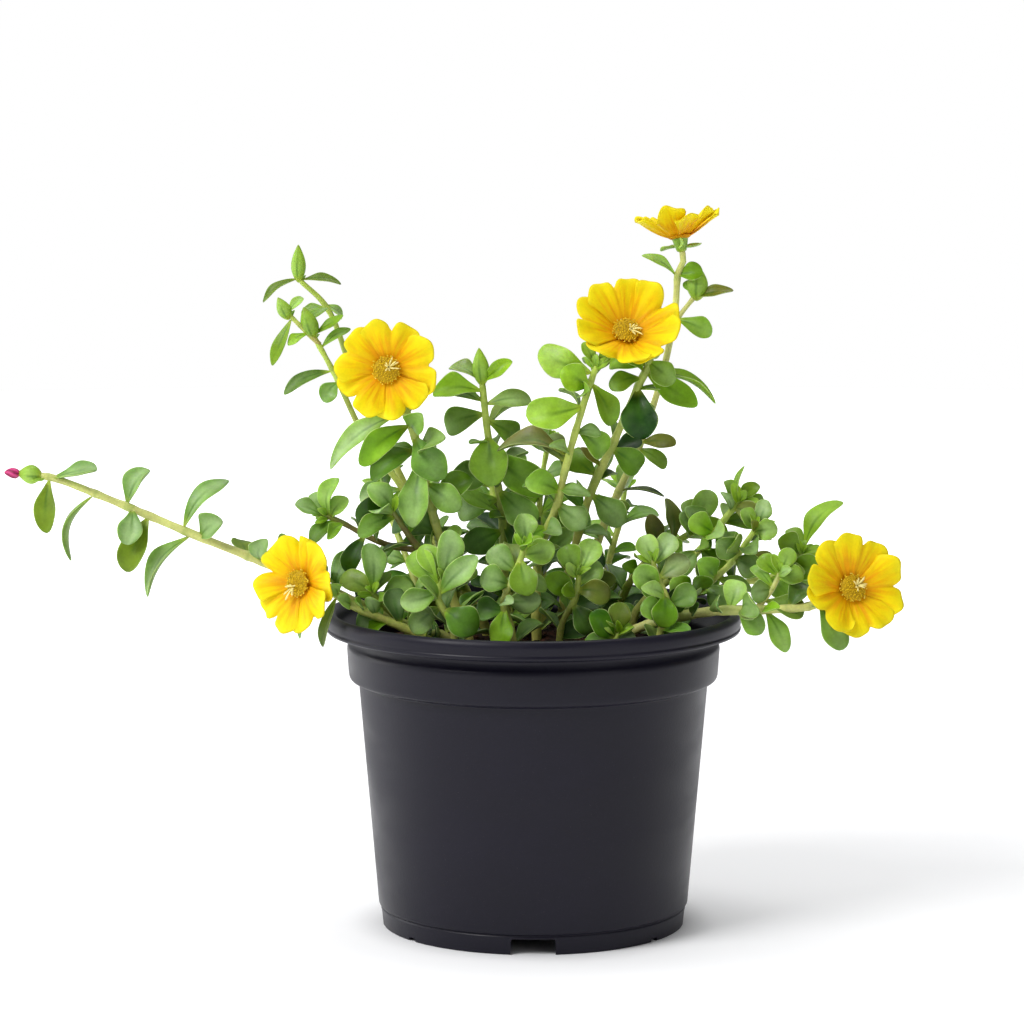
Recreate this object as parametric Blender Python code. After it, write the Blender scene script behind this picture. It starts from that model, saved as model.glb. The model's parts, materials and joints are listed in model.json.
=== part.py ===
"""Yellow portulaca in a round black nursery pot.

Lengths below are in millimetres and become metres where a mesh is made. The origin is the
centre of the pot's foot on the ground, +Z is up and the photograph looks along +Y.
"""
import math
import random
from collections import namedtuple

import bmesh
import bpy
from mathutils import Matrix, Vector, noise
from mathutils.bvhtree import BVHTree

MM = 0.001
TOUCH_GAP = 0.3

# Pot
RIM_RADIUS = 65.0
RIM_TOP = 99.2
RIM_BOTTOM = 93.0
COLLAR_RADIUS = 58.6
COLLAR_TOP = 90.0
COLLAR_BOTTOM = 78.2
BODY_TOP_RADIUS = 54.6
BODY_FOOT_RADIUS = 48.6
FOOT_RADIUS = 47.7
FOOT_HEIGHT = 6.0
WALL = 1.5
FLOOR_BOTTOM = 5.2
FLOOR_TOP = 7.0
CENTRE_PAD_RADIUS = 9.0
POT_SEGMENTS = 24
NOTCH_COUNT = 4
NOTCH_WIDTH = 13.6
NOTCH_HEIGHT = 5.0
SLOT_ANGLE = 52.0
SLOT_WIDTH = 3.0
SLOT_HEIGHT = 1.2
DRAIN_COUNT = 4
DRAIN_RADIUS = 4.0
DRAIN_RING = 27.0

# Soil
SOIL_TOP = 88.0
SOIL_MOUND = 2.5
SOIL_LUMPS = 1.6
SOIL_RINGS = 5
SOIL_SEGMENTS = 20
HOLE_DEPTH = 11.0
HOLE_CLEARANCE = 0.7
HOLE_SIDES = 6

# Leaves and stems
LEAF_SIDES = 3
LEAF_RINGS = 4
LEAF_THICKNESS = 1.7
LEAF_CLEARANCE = 0.9
STEM_SIDES = 5
STEM_STEP = 14.0
SUNK = 0.3
BUD_SUNK = 1.5
GOLDEN_ANGLE = math.radians(137.5)

# Blooms
PETALS = 5
PETAL_THICKNESS = 0.7
PETAL_ACROSS = 4
PETAL_ALONG = 3
HEART_RADIUS = 3.7
HEART_THICKNESS = 1.1
EYE_RADIUS = 4.4
EYE_HEIGHT = 2.8
EYE_SIDES = 6
EYE_RINGS = 4
STAMENS = 5
CALYX_RADIUS = 2.9
CALYX_LENGTH = 4.5
BRACTS = 3

# Finding room: turns tried for a filling leaf, how far each turns on and shrinks, and the
# leans to the front and back tried for a listed leaf
FILL_TRIES = 7
FILL_TURN = 0.9
FILL_SHRINK = 0.05
FILL_LEAF_TURN = 60
GIVEN_LEANS = (0, -3, 3, -6, 6, -9, 9, 12)
LOWEST_LEAF = SOIL_TOP + 4

# A leaf: where it leaves its stem in the front view (x, z), where its tip is (x, z), how far
# the tip lies behind its root, its width, and its turn from facing the viewer in degrees.
# A stem: its foot in the soil (x, y), the points it passes, its thickness at foot and tip,
# its side branches, its leaves, its buds (root, tip, width) and how many leaves the filling
# rule adds between two fractions of its length.
Stem = namedtuple("Stem", "name foot route thick branches leaves buds fill")
Bloom = namedtuple("Bloom", "name stem base facing radius cup spin")
Branch = namedtuple("Branch", "route thick")
Fill = namedtuple("Fill", "start end count length width seed")

STEMS = [
    Stem("left_trailing_stem", (-27, -6),
         [(-32, -7, 92), (-46, -8, 98), (-59, -9, 104.5), (-84, -10, 115.5), (-104, -10, 123.5),
          (-124, -10, 132), (-145, -10, 140.5), (-153, -10, 142.5)],
         (3.6, 2.4), [],
         [(-149, 141, -134, 145, -2, 8, 62), (-150, 139, -150, 124, -3, 7.5, 10),
          (-137, 132, -145, 115, 3, 7, 78), (-126, 132, -118, 144, 3, 8.5, 50),
          (-125, 130, -125, 121, -7, 8, 5), (-120, 127, -126, 112, -3, 9, 5),
          (-108, 126, -95, 142, 4, 8, 50), (-103, 123, -96, 129, -6, 9, 25),
          (-106, 122, -121, 105, -3, 8, 62), (-62, 106, -55, 119, 4, 8, 20)],
         [((-153, -10, 142.5), (-159.6, -10, 143), 5.6)],
         Fill(0.02, 0.22, 4, 12, 7.5, 11)),
    Stem("low_left_bloom_stem", (-31, -22),
         [(-36, -23.5, 95), (-46, -24.5, 99.8), (-52, -24.5, 102.2), (-58, -23, 105.5)],
         (3.0, 2.4), [],
         [(-60, 107, -66, 91, -3, 4.4, 45), (-63, 109, -73, 92, 3, 4.4, 50),
          (-40, 98, -43, 109, 5, 7.5, 15)],
         [], Fill(0.1, 0.5, 2, 11, 8, 12)),
    Stem("upper_left_stem", (-20, 22),
         [(-26, 23, 104), (-42, 24, 138), (-55, 23, 165), (-64, 22, 190), (-74, 22, 201)],
         (3.2, 1.8), [],
         [(-73, 201, -60, 200, -2, 3.6, 50), (-74, 202, -86, 194, -2, 3.4, 50),
          (-66, 193, -60, 188, 3, 3.8, 45), (-66, 192, -74, 190, 3, 3.4, 45)],
         [((-74, 22, 201), (-74, 22, 212), 4.4)],
         Fill(0.05, 0.42, 5, 14, 8, 13)),
    Stem("left_bud_stem", (-15, 12),
         [(-24, 12, 108), (-40, 13, 134), (-53, 13, 152), (-62, 13, 171), (-69, 13, 184)],
         (3.2, 1.8), [Branch([(-67, 13, 181), (-73, 12, 187), (-77, 12, 191)], (1.8, 1.4))],
         [(-76, 189, -82, 174, -2, 4.8, 35), (-70, 185, -77, 181, -4, 3.8, 30),
          (-69, 185, -59, 190, 2, 3.8, 45), (-77, 191, -72, 196, 3, 3.4, 30),
          (-66, 180, -57, 186, 4, 3.6, 60), (-62, 173, -79, 166, -3, 5.2, 48),
          (-61, 169, -66, 163, -4, 6.5, 15), (-73, 187, -64, 193, 3, 3.4, 45)],
         [((-69, 13, 184), (-72, 12, 193), 5.2), ((-77, 12, 190), (-80, 12, 196), 4.2)],
         Fill(0.08, 0.5, 5, 14, 8.5, 14)),
    Stem("left_bloom_stem", (-20, -8),
         [(-25, -8, 104), (-29, -8, 122), (-33, -9, 138), (-37, -10, 156), (-41, -10, 166)],
         (3.4, 2.6),
         [Branch([(-30, -8, 118), (-46, -9, 121), (-60, -9, 128), (-65, -9, 130)], (2.4, 1.6)),
          Branch([(-27, -8, 112), (-36, -13, 121), (-44, -16, 133)], (2.4, 1.8))],
         [(-40, 162, -65, 145, 2, 8, 48), (-38, 158, -54, 146, -5, 8.5, 10),
          (-36, 155, -27, 142, -6, 11, 5), (-35, 148, -37, 127, -9, 10, 0),
          (-36, 150, -50, 141, -6, 8.5, 15), (-43, 132, -55, 131, -4, 10, 5),
          (-44, 132, -51, 141, -2, 8, 25), (-42, 130, -54, 125, -6, 7, 25),
          (-65, 129, -74, 134, -2, 6, 40), (-64, 129, -69, 137, 2, 5.5, 20),
          (-63, 128, -57, 136, -2, 6, 20), (-61, 127, -69, 121, -3, 6, 35),
          (-54, 124, -48, 132, 3, 7, 30), (-33, 140, -22, 132, -5, 9, 20),
          (-31, 132, -19, 142, 3, 9, 25), (-52, 123, -58, 112, -3, 7, 25)],
         [], Fill(0.1, 0.85, 4, 14, 9, 15)),
    Stem("middle_stem", (-8, 8),
         [(-9, 8, 106), (-10, 8, 130), (-14, 5, 152), (-16, 4, 170)],
         (3.2, 2.2), [],
         [(-16, 170, -6, 177, -2, 5.5, 25), (-14, 163, 0, 165, 2, 7, 35),
          (-15, 153, -13, 137, -9, 13, 0), (-12, 149, 4, 135, -5, 12, 10),
          (-16, 167, -32, 166, -2, 8.5, 30), (-16, 170, -27, 174, 3, 6, 40),
          (-15, 160, -28, 155, 4, 9, 20), (-12, 142, -26, 140, -5, 10, 15),
          (-11, 136, 2, 126, -7, 10, 10), (-15, 158, -4, 152, 5, 8, 20),
          (-11, 133, -25, 128, 4, 11, 10), (-10, 126, 1, 116, 3, 10, 10),
          (-10, 123, -22, 117, -5, 10, 15)],
         [((-16, 4, 170), (-17, 4, 181), 5)],
         Fill(0.08, 0.6, 5, 14, 9, 16)),
    Stem("centre_tall_stem", (1, -2),
         [(1, -3, 104), (2, -5, 119), (7, -8, 132), (10, -9, 145), (15, -9, 163), (19.5, -9, 177)],
         (3.4, 2.0), [],
         [(18, 174, 1, 181, 3, 10.5, 15), (17, 170, 8, 175, -4, 9.5, 10),
          (15, 164, -3, 161, -3, 11, 12), (18, 171, 25, 158, -3, 7.5, 25),
          (10, 148, -12, 151, 2, 8.5, 62), (20, 176, 15, 184, 0, 4.5, 30),
          (20, 176, 25, 183, -2, 4.5, 30), (13, 157, 23, 148, 5, 9, 20),
          (8, 137, -3, 141, -5, 9, 15), (7, 133, 16, 126, -5, 9, 15),
          (4, 126, -6, 119, -5, 9.5, 10), (10, 146, 4, 155, 6, 8, 25)],
         [], Fill(0.05, 0.45, 3, 13, 9, 17)),
    Stem("right_bloom_stem", (9, 10),
         [(10, 9, 104), (17, 3, 133), (25, -1, 152), (33, -4, 171), (36, -5, 178)],
         (3.2, 2.4), [],
         [(33, 169, 34, 153, -5, 12, 0), (35, 174, 51, 163, -4, 8.5, 22),
          (35, 173, 58, 165, 3, 7.5, 68), (33, 172, 23, 169, -4, 7, 25),
          (35, 176, 23, 175, 3, 7.5, 35), (36, 177, 44, 171, -6, 8, 20),
          (24, 150, 34, 143, 3, 9, 20), (20, 141, 11, 148, 4, 8.5, 25),
          (18, 135, 29, 126, -4, 9, 15)],
         [], Fill(0.08, 0.5, 4, 14, 9, 18)),
    Stem("top_bloom_stem", (15, 24),
         [(16, 24, 102), (22, 22, 122), (33, 18, 148), (40, 14, 170), (44, 12, 190), (45, 12, 203)],
         (3.2, 2.2), [Branch([(44, 12, 188), (47, 12, 192), (51, 12, 197)], (1.8, 1.6))],
         [(33, 150, 45.5, 150, -2, 6.4, 40), (32, 148, 42, 142, -4, 5.8, 30),
          (27, 134, 42, 133, -3, 3.8, 66), (50, 196, 63, 198, -2, 4.6, 40),
          (45, 189, 56, 184, -3, 7, 20), (51, 196, 47, 201, 2, 4, 30),
          (45, 202, 33, 209, 0, 3.8, 40), (45, 203, 53, 204, -3, 6.5, 20)],
         [((51, 12, 196), (51.5, 12, 206), 6.2)],
         Fill(0.08, 0.3, 4, 14, 9, 19)),
    Stem("right_back_stem", (27, 32),
         [(30, 30, 102), (38, 24, 113), (46, 22, 118), (54, 20, 123)],
         (3.0, 2.0), [],
         [(53, 122, 56, 135, 0, 8.5, 5), (44, 117, 43, 132, 0, 8, 40),
          (40, 115, 37, 127, -2, 6.5, 25), (50, 120, 62, 121, -4, 8, 20),
          (53, 122, 48, 131, 3, 7, 20)],
         [], Fill(0.1, 0.95, 5, 12, 8, 20)),
    Stem("right_upper_stem", (31, 12),
         [(34, 12, 99), (46, 10, 110), (55, 9, 120), (61, 8, 128), (65, 8, 133)],
         (3.0, 1.8), [],
         [(65, 132, 65, 144, -1, 3.4, 55), (64, 131, 60, 139, 2, 5, 25),
          (65, 131, 71, 138, 2, 5, 25), (63, 130, 70, 129, -4, 7, 15),
          (57, 122, 48, 127, -3, 8, 15), (57, 122, 64, 117, -4, 8, 15),
          (52, 116, 45, 109, -4, 8.5, 15), (53, 117, 60, 111, -5, 8, 15)],
         [], Fill(0.12, 0.9, 4, 11, 8, 21)),
    Stem("right_middle_stem", (37, -2),
         [(41, -3, 98), (52, -4, 106), (61, -5, 114), (66, -6, 121), (70, -6, 127)],
         (2.8, 1.7), [],
         [(70, 126, 72, 135, 0, 6, 20), (69, 125, 64, 132, -2, 6, 20),
          (69, 124, 76, 126, -3, 7, 15), (64, 118, 56, 122, -4, 8.5, 10),
          (63, 116, 71, 113, -4, 8.5, 10), (57, 110, 51, 116, -4, 8.5, 10),
          (54, 107, 62, 102, -4, 9, 10), (49, 104, 42, 110, -4, 8, 10)],
         [], Fill(0.12, 0.9, 3, 11, 8, 22)),
    Stem("right_outer_stem", (40, 14),
         [(45, 14, 100), (58, 12, 104), (70, 10, 107), (79, 8, 110), (85, 7, 117)],
         (2.8, 1.6), [],
         [(85, 117, 97, 133, 0, 8, 60), (84, 115, 76, 121, -3, 8.5, 20),
          (80, 111, 90, 113, -4, 8.5, 20), (82, 113, 88, 104, -4, 8, 20),
          (73, 108, 70, 117, -2, 8, 15), (74, 108, 81, 101, -5, 8, 15),
          (85, 116, 80, 124, 3, 6, 30)],
         [], Fill(0.2, 0.95, 3, 11, 7.5, 23)),
    Stem("right_trailing_stem", (23, -15),
         [(28, -17, 94), (37, -20, 98), (48, -23, 101), (58, -25, 102.6), (70, -26, 103),
          (84, -26, 104)],
         (3.6, 2.6), [Branch([(68, -26, 103), (73, -24, 109), (76, -22, 115)], (2.0, 1.4))],
         [(71, 102, 78, 90, -3, 7, 15), (88, 104, 95, 90, -2, 8.5, 10),
          (76, 114, 79, 122, 0, 6, 20), (75, 113, 69, 119, 2, 6, 20),
          (75, 112, 83, 114, -2, 6.5, 20), (73, 109, 66, 108, -3, 7.5, 10),
          (63, 103, 70, 96, -5, 7.5, 15), (60, 103, 63, 112, 3, 8, 15),
          (45, 100, 40, 91, -3, 8, 10), (43, 100, 45, 110, -3, 8, 10),
          (78, 104, 84, 111, 3, 7, 20), (52, 102, 58, 93, 9, 7, 20)],
         [], Fill(0.15, 0.7, 3, 11, 7.5, 24)),
    Stem("front_left_stem", (-24, -29),
         [(-25, -30, 99), (-29, -31, 107), (-28, -31, 114)],
         (2.8, 2.0), [],
         [(-29, 112, -25, 129, -1, 9, 0), (-28, 109, -41, 106, -3, 8, 15),
          (-28, 108, -17, 121, -2, 8, 20), (-28, 110, -38, 121, 3, 9, 10),
          (-27, 105, -38, 96, 3, 8, 15), (-27, 104, -17, 97, -4, 11, 15),
          (-28, 113, -34, 124, 4, 8, 15)],
         [], Fill(0.1, 0.6, 2, 11, 8, 25)),
    Stem("front_rim_stem", (-38, -14),
         [(-41, -15, 97), (-47, -17, 103.5), (-50, -18, 108)],
         (2.4, 1.8), [],
         [(-50, 107, -51, 123, 1, 8, 10), (-46, 103, -54, 96, -14, 8.5, 10),
          (-47, 104, -37, 110, -2, 8, 15), (-49, 106, -60, 112, 3, 8, 20)],
         [], Fill(0.1, 0.4, 1, 10, 7, 26)),
    Stem("front_middle_stem", (-6, -26),
         [(-7, -27, 98), (-9, -29, 106), (-5, -29, 116), (-2, -28, 124)],
         (2.8, 1.9), [],
         [(-9, 104, -10, 92, -4, 8, 10), (-8, 106, 3, 107, -3, 8, 10),
          (-4, 119, -1, 108, -6, 9.5, 0), (-2, 123, -4, 133, 2, 8, 15),
          (-7, 111, -17, 113, -2, 9, 10), (-3, 120, 7, 123, -2, 8.5, 15),
          (-5, 115, -14, 122, 2, 8.5, 20), (-8, 103, -18, 104, 2, 8, 20)],
         [], Fill(0.1, 0.5, 2, 11, 8, 27)),
    Stem("centre_low_stem", (8, -18),
         [(9, -19, 98), (13, -21, 106), (14, -21, 114)],
         (2.6, 1.8), [],
         [(12, 105, 3, 113, -2, 8, 25), (13, 110, 21, 117, 0, 8.5, 10),
          (14, 113, 9, 122, 2, 8, 15), (12, 104, 18, 95, -3, 8, 15),
          (13, 108, 24, 107, -3, 8, 20), (14, 113, 19, 124, 4, 8, 20)],
         [], Fill(0.1, 0.5, 2, 11, 8, 28)),
    Stem("centre_right_stem", (24, -27),
         [(25, -28, 94), (26, -28, 97)],
         (2.4, 1.8), [],
         [(26, 95, 27, 106, -1, 7.5, 5), (25, 94, 17, 103, -1, 8, 10),
          (25, 93, 15, 91, 2, 7, 25)],
         [], Fill(0.2, 0.6, 1, 9, 6, 29)),
    Stem("front_right_stem", (38, -27),
         [(39, -28, 97), (41, -28, 105), (38, -27, 113), (36, -26, 119)],
         (2.6, 1.8), [],
         [(37, 117, 33, 126, 2, 7.5, 15), (39, 111, 30, 116, -3, 8.5, 10),
          (40, 108, 40, 98, -5, 8.5, 5), (41, 105, 50, 110, -1, 8, 10),
          (39, 113, 48, 119, 1, 8, 10), (37, 117, 43, 126, 3, 7.5, 15),
          (40, 101, 32, 105, -2, 8, 15)],
         [], Fill(0.1, 0.5, 2, 11, 8, 30)),
    Stem("back_left_stem", (-34, 18),
         [(-37, 22, 103), (-44, 32, 120), (-50, 40, 134)],
         (2.8, 1.8), [], [], [], Fill(0.1, 1.0, 8, 13, 8.5, 31)),
    Stem("back_stem", (-6, 34),
         [(-8, 38, 106), (-12, 47, 124), (-15, 53, 140)],
         (2.8, 1.8), [], [], [], Fill(0.1, 1.0, 8, 13, 8.5, 32)),
    Stem("back_centre_stem", (3, 22),
         [(3, 25, 108), (2, 30, 130), (5, 34, 150)],
         (2.8, 1.8), [],
         [(2, 134, -10, 130, -4, 11, 10), (3, 126, 14, 121, -4, 10, 10)],
         [], Fill(0.1, 1.0, 8, 13, 8.5, 33)),
    Stem("back_right_stem", (22, 40),
         [(24, 46, 106), (28, 53, 120), (30, 58, 132)],
         (2.8, 1.8), [], [], [], Fill(0.1, 1.0, 8, 13, 8.5, 34)),
]

BLOOMS = [
    Bloom("left_bloom", "left_bloom_stem", (-44.8, -15, 175.5), (-0.1, -0.98, 0.12), 16.6, 4.0, 8),
    Bloom("right_bloom", "right_bloom_stem", (28.4, -8, 185.8), (0.08, -0.77, 0.63), 17.6, 9.0, 30),
    Bloom("top_bloom", "top_bloom_stem", (45.6, 12, 214.5), (-0.14, 0.14, 0.97), 14.2, 7.6, 12),
    Bloom("low_left_bloom", "low_left_bloom_stem", (-70.5, -25, 111), (-0.6, -0.78, 0.12), 16, 4.5, 20),
    Bloom("far_right_bloom", "right_trailing_stem", (96.5, -27, 109.5), (0.33, -0.88, 0.3), 17, 5.5, 0),
]
BUD_TIP_NAME = "magenta_bud_tip"
BUD_TIP_STEM = "left_trailing_stem"
BUD_TIP_WIDTH = 3.6
BUD_TIP_LENGTH = 4.0

# Stems whose leaves the exact Boolean solver drops
HARD_TO_JOIN = {"left_trailing_stem"}

# Colours, roughness
POT_BLACK = ((0.022, 0.021, 0.027), 0.42)
SOIL_BROWN = ((0.020, 0.012, 0.008), 0.95)
LEAF_GREEN = ((0.10, 0.24, 0.05), 0.45)
PETAL_YELLOW = ((0.90, 0.56, 0.01), 0.5)
EYE_GOLD = ((0.55, 0.42, 0.04), 0.6)
BUD_MAGENTA = ((0.42, 0.01, 0.10), 0.5)


def material(name, look):
    colour, roughness = look
    made = bpy.data.materials.get(name) or bpy.data.materials.new(name)
    made.use_nodes = True
    shader = made.node_tree.nodes["Principled BSDF"]
    shader.inputs["Base Color"].default_value = (*colour, 1.0)
    shader.inputs["Roughness"].default_value = roughness
    shader.inputs["Metallic"].default_value = 0.0
    made.diffuse_color = (*colour, 1.0)
    return made


def clear_scene():
    for obj in list(bpy.data.objects):
        bpy.data.objects.remove(obj, do_unlink=True)


def new_object(name, bm, collection=None):
    """An object in metres from a bmesh in millimetres."""
    bmesh.ops.scale(bm, vec=(MM, MM, MM), verts=bm.verts)
    bmesh.ops.recalc_face_normals(bm, faces=bm.faces)
    mesh = bpy.data.meshes.new(name)
    bm.to_mesh(mesh)
    bm.free()
    obj = bpy.data.objects.new(name, mesh)
    (collection or bpy.context.scene.collection).objects.link(obj)
    return obj


def apply_boolean(obj, operation, tools, solver="EXACT"):
    """Joins or cuts with every object of a collection, then removes that collection's objects."""
    modifier = obj.modifiers.new("boolean", "BOOLEAN")
    modifier.operation = operation
    modifier.solver = solver
    modifier.operand_type = "COLLECTION"
    modifier.collection = tools
    graph = bpy.context.evaluated_depsgraph_get()
    joined = bpy.data.meshes.new_from_object(obj.evaluated_get(graph))
    obj.modifiers.remove(modifier)
    obj.data = joined
    for tool in list(tools.objects):
        bpy.data.objects.remove(tool, do_unlink=True)
    bpy.data.collections.remove(tools)


def tool_collection(name):
    made = bpy.data.collections.new(name)
    bpy.context.scene.collection.children.link(made)
    return made


def islands(bm):
    """The faces of each connected body of a mesh."""
    left = set(bm.faces)
    found = []
    while left:
        group = [left.pop()]
        for face in group:
            for edge in face.edges:
                for other in edge.link_faces:
                    if other in left:
                        left.remove(other)
                        group.append(other)
        found.append(group)
    return found


def body_volume(faces):
    total = 0.0
    for face in faces:
        corners = [vert.co for vert in face.verts]
        for i in range(1, len(corners) - 1):
            total += corners[0].dot(corners[i].cross(corners[i + 1])) / 6
    return total


def keep_one_body(obj):
    """Fills the hollows that fusing sealed and drops loose scraps."""
    bm = bmesh.new()
    bm.from_mesh(obj.data)
    bmesh.ops.triangulate(bm, faces=bm.faces)
    bmesh.ops.remove_doubles(bm, verts=bm.verts, dist=1e-6)
    bmesh.ops.dissolve_degenerate(bm, dist=1e-6, edges=bm.edges)
    bodies = islands(bm)
    outer = max(bodies, key=body_volume)
    for body in bodies:
        if body is not outer:
            bmesh.ops.delete(bm, geom=body, context="FACES")
    bm.to_mesh(obj.data)
    bm.free()


# Bent spheres: every stem, leaf, bud and calyx is a sphere whose rings follow a line

def bent_sphere(bm, sides, rings, place):
    """Adds a sphere and moves each vertex to place(angle, t), with t from 0 to 1 pole to pole."""
    made = bmesh.ops.create_uvsphere(bm, u_segments=sides, v_segments=rings, radius=1.0)
    for vert in made["verts"]:
        t = math.acos(max(-1.0, min(1.0, -vert.co.z))) / math.pi
        vert.co = place(math.atan2(vert.co.y, vert.co.x), t)
    return made["verts"]


def smooth_path(points, step):
    """Points about a step apart on a smooth curve through the given ones."""
    points = [Vector(p) for p in points]
    padded = [2 * points[0] - points[1]] + points + [2 * points[-1] - points[-2]]
    path = []
    for a, b, c, d in zip(padded, padded[1:], padded[2:], padded[3:]):
        count = max(1, round((c - b).length / step))
        for i in range(count):
            t = i / count
            path.append(0.5 * (2 * b + (c - a) * t + (2 * a - 5 * b + 4 * c - d) * t * t
                               + (3 * b - a - 3 * c + d) * t ** 3))
    path.append(points[-1])
    return path


def path_point(path, fraction):
    """The place at a fraction of a path's points, and its direction there."""
    where = max(0.0, min(1.0, fraction)) * (len(path) - 1)
    i = min(int(where), len(path) - 2)
    return path[i].lerp(path[i + 1], where - i), (path[i + 1] - path[i]).normalized()


def add_tube(bm, path, thick, sides):
    """A round stem with flat ends along a path, thinner towards its tip."""
    rings = len(path) + 1
    across = Vector((0.31, 0.95, 0.05))
    frames = []
    for i in range(len(path)):
        before = path[max(i - 1, 0)]
        after = path[min(i + 1, len(path) - 1)]
        along = (after - before).normalized()
        across = (across - along * across.dot(along)).normalized()
        frames.append((across.copy(), along.cross(across)))

    def place(angle, t):
        ring = round(t * rings) - 1
        on_axis = ring < 0 or ring >= len(path)
        ring = max(0, min(len(path) - 1, ring))
        radius = 0.0 if on_axis else 0.5 * (thick[0] + (thick[1] - thick[0]) * ring / (len(path) - 1))
        side, up = frames[ring]
        return path[ring] + radius * (side * math.cos(angle) + up * math.sin(angle))

    return bent_sphere(bm, sides, rings, place)


class Leaf:
    """A fleshy spoon-shaped blade between a root and a tip."""

    def __init__(self, root, tip, width, turn, arch=0.1):
        self.root = Vector(root)
        self.tip = Vector(tip)
        self.width = width
        self.turn = turn
        self.arch = arch

    def frame(self):
        along = (self.tip - self.root).normalized()
        viewer = Vector((0, -1, 0))
        if abs(along.dot(viewer)) > 0.9:
            viewer = Vector((0, 0, 1))
        face = (viewer - along * viewer.dot(along)).normalized()
        turned = Matrix.Rotation(math.radians(self.turn), 3, along) @ face
        other = Matrix.Rotation(math.radians(-self.turn), 3, along) @ face
        face = turned if turned.z >= other.z else other
        return along, face, face.cross(along)

    def add(self, bm, sides=LEAF_SIDES, rings=LEAF_RINGS, grow=0.0, start=0.0):
        along, face, side = self.frame()
        length = (self.tip - self.root).length

        def place(angle, t):
            if sides == 3:
                angle *= 1.5 if angle > 0 else 0.75
            t = start + (1 - start) * (1 - (1 - t) ** 1.4)
            blade = math.sin(math.pi * t ** 1.35) ** 0.75 if 0 < t < 1 else 0.0
            half_width = 0.5 * (self.width + grow) * blade
            half_thick = 0.5 * (LEAF_THICKNESS + grow) * min(1.0, 0.35 + blade) * (0 < t < 1)
            bow = self.arch * length * math.sin(math.pi * t)
            middle = self.root + along * (length * t - SUNK) + face * bow
            return middle + side * (half_width * math.cos(angle)) + face * (half_thick * math.sin(angle))

        return bent_sphere(bm, sides, rings, place)


def add_bud(bm, root, tip, width, sides=6, rings=5, sunk=BUD_SUNK):
    """A pointed egg, its root sunk into what it grows from."""
    tip = Vector(tip)
    along = (tip - Vector(root)).normalized()
    root = Vector(root) - along * sunk
    side = along.cross(Vector((0.2, 1, 0.1))).normalized()
    up = side.cross(along)

    def place(angle, t):
        radius = 0.5 * width * math.sin(math.pi * t ** 0.85) ** 0.8 if 0 < t < 1 else 0.0
        return root.lerp(tip, t) + radius * (side * math.cos(angle) + up * math.sin(angle))

    return bent_sphere(bm, sides, rings, place)


def facing_matrix(bloom):
    """Turns a bloom's own frame, with +Z out of its face, to its place on the plant."""
    facing = Vector(bloom.facing).normalized()
    turn = facing.to_track_quat("Z", "Y").to_matrix().to_4x4()
    return Matrix.Translation(Vector(bloom.base)) @ turn @ Matrix.Rotation(math.radians(bloom.spin), 4, "Z")


def petal_height(radius, bloom):
    """Height of the cup above the heart at a distance from the axis."""
    out = max(0.0, (radius - 0.8 * HEART_RADIUS) / (bloom.radius - 0.8 * HEART_RADIUS))
    return 0.5 * HEART_THICKNESS + bloom.cup * out ** 1.3


def add_petal(bm, bloom, index):
    """A broad heart-shaped petal with a waved edge, overlapping the next one."""
    made = bmesh.ops.create_grid(bm, x_segments=PETAL_ACROSS, y_segments=PETAL_ALONG, size=1.0)
    draw = random.Random(bloom.spin * 100 + index)
    phase = draw.uniform(0, 6)
    reach = bloom.radius * draw.uniform(0.94, 1.03)
    turn = 2 * math.pi * index / PETALS
    for vert in made["verts"]:
        u = vert.co.x
        v = 0.5 + 0.5 * vert.co.y
        notch = 0.16 * math.exp(-(u / 0.28) ** 2) + 0.30 * abs(u) ** 4
        radius = 1.5 + (reach - 1.5) * v * (1 - notch * v)
        spread = math.radians(30 + 17 * v)
        wave = 0.07 * bloom.radius * v * v * math.sin(4.5 * u + phase)
        height = petal_height(radius, bloom) + 1.25 * u * v + wave
        angle = turn + spread * u
        vert.co = Vector((radius * math.cos(angle), radius * math.sin(angle), height))
    faces = list({face for vert in made["verts"] for face in vert.link_faces})
    cut = bmesh.ops.triangulate(bm, faces=faces)
    bmesh.ops.recalc_face_normals(bm, faces=cut["faces"])
    bmesh.ops.solidify(bm, geom=cut["faces"], thickness=PETAL_THICKNESS)


def add_heart(bm):
    """The disc that the petals grow from."""
    bmesh.ops.create_cone(bm, cap_ends=True, segments=8, radius1=HEART_RADIUS * 0.8,
                          radius2=HEART_RADIUS, depth=HEART_THICKNESS,
                          matrix=Matrix.Translation((0, 0, 0.5 * HEART_THICKNESS)))


def add_eye_core(bm):
    base = HEART_THICKNESS + 2 * TOUCH_GAP

    def place(angle, t):
        radius = EYE_RADIUS * 0.85 * math.sin(math.pi * t) ** 0.8 if 0 < t < 1 else 0.0
        return Vector((radius * math.cos(angle), radius * math.sin(angle), base + EYE_HEIGHT * 0.7 * t))

    bent_sphere(bm, EYE_SIDES, EYE_RINGS, place)


def add_stamen(bm, index):
    base = HEART_THICKNESS + 2 * TOUCH_GAP + 0.3 * EYE_HEIGHT
    angle = index * GOLDEN_ANGLE
    lean = 0.35 + 0.65 * index / STAMENS
    root = Vector((0.5 * math.cos(angle), 0.5 * math.sin(angle), base))
    tip = Vector((EYE_RADIUS * lean * math.cos(angle), EYE_RADIUS * lean * math.sin(angle),
                  base + EYE_HEIGHT * (1.15 - 0.4 * lean)))
    add_bud(bm, root, tip, 1.0, sides=3, rings=3, sunk=0)


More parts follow.
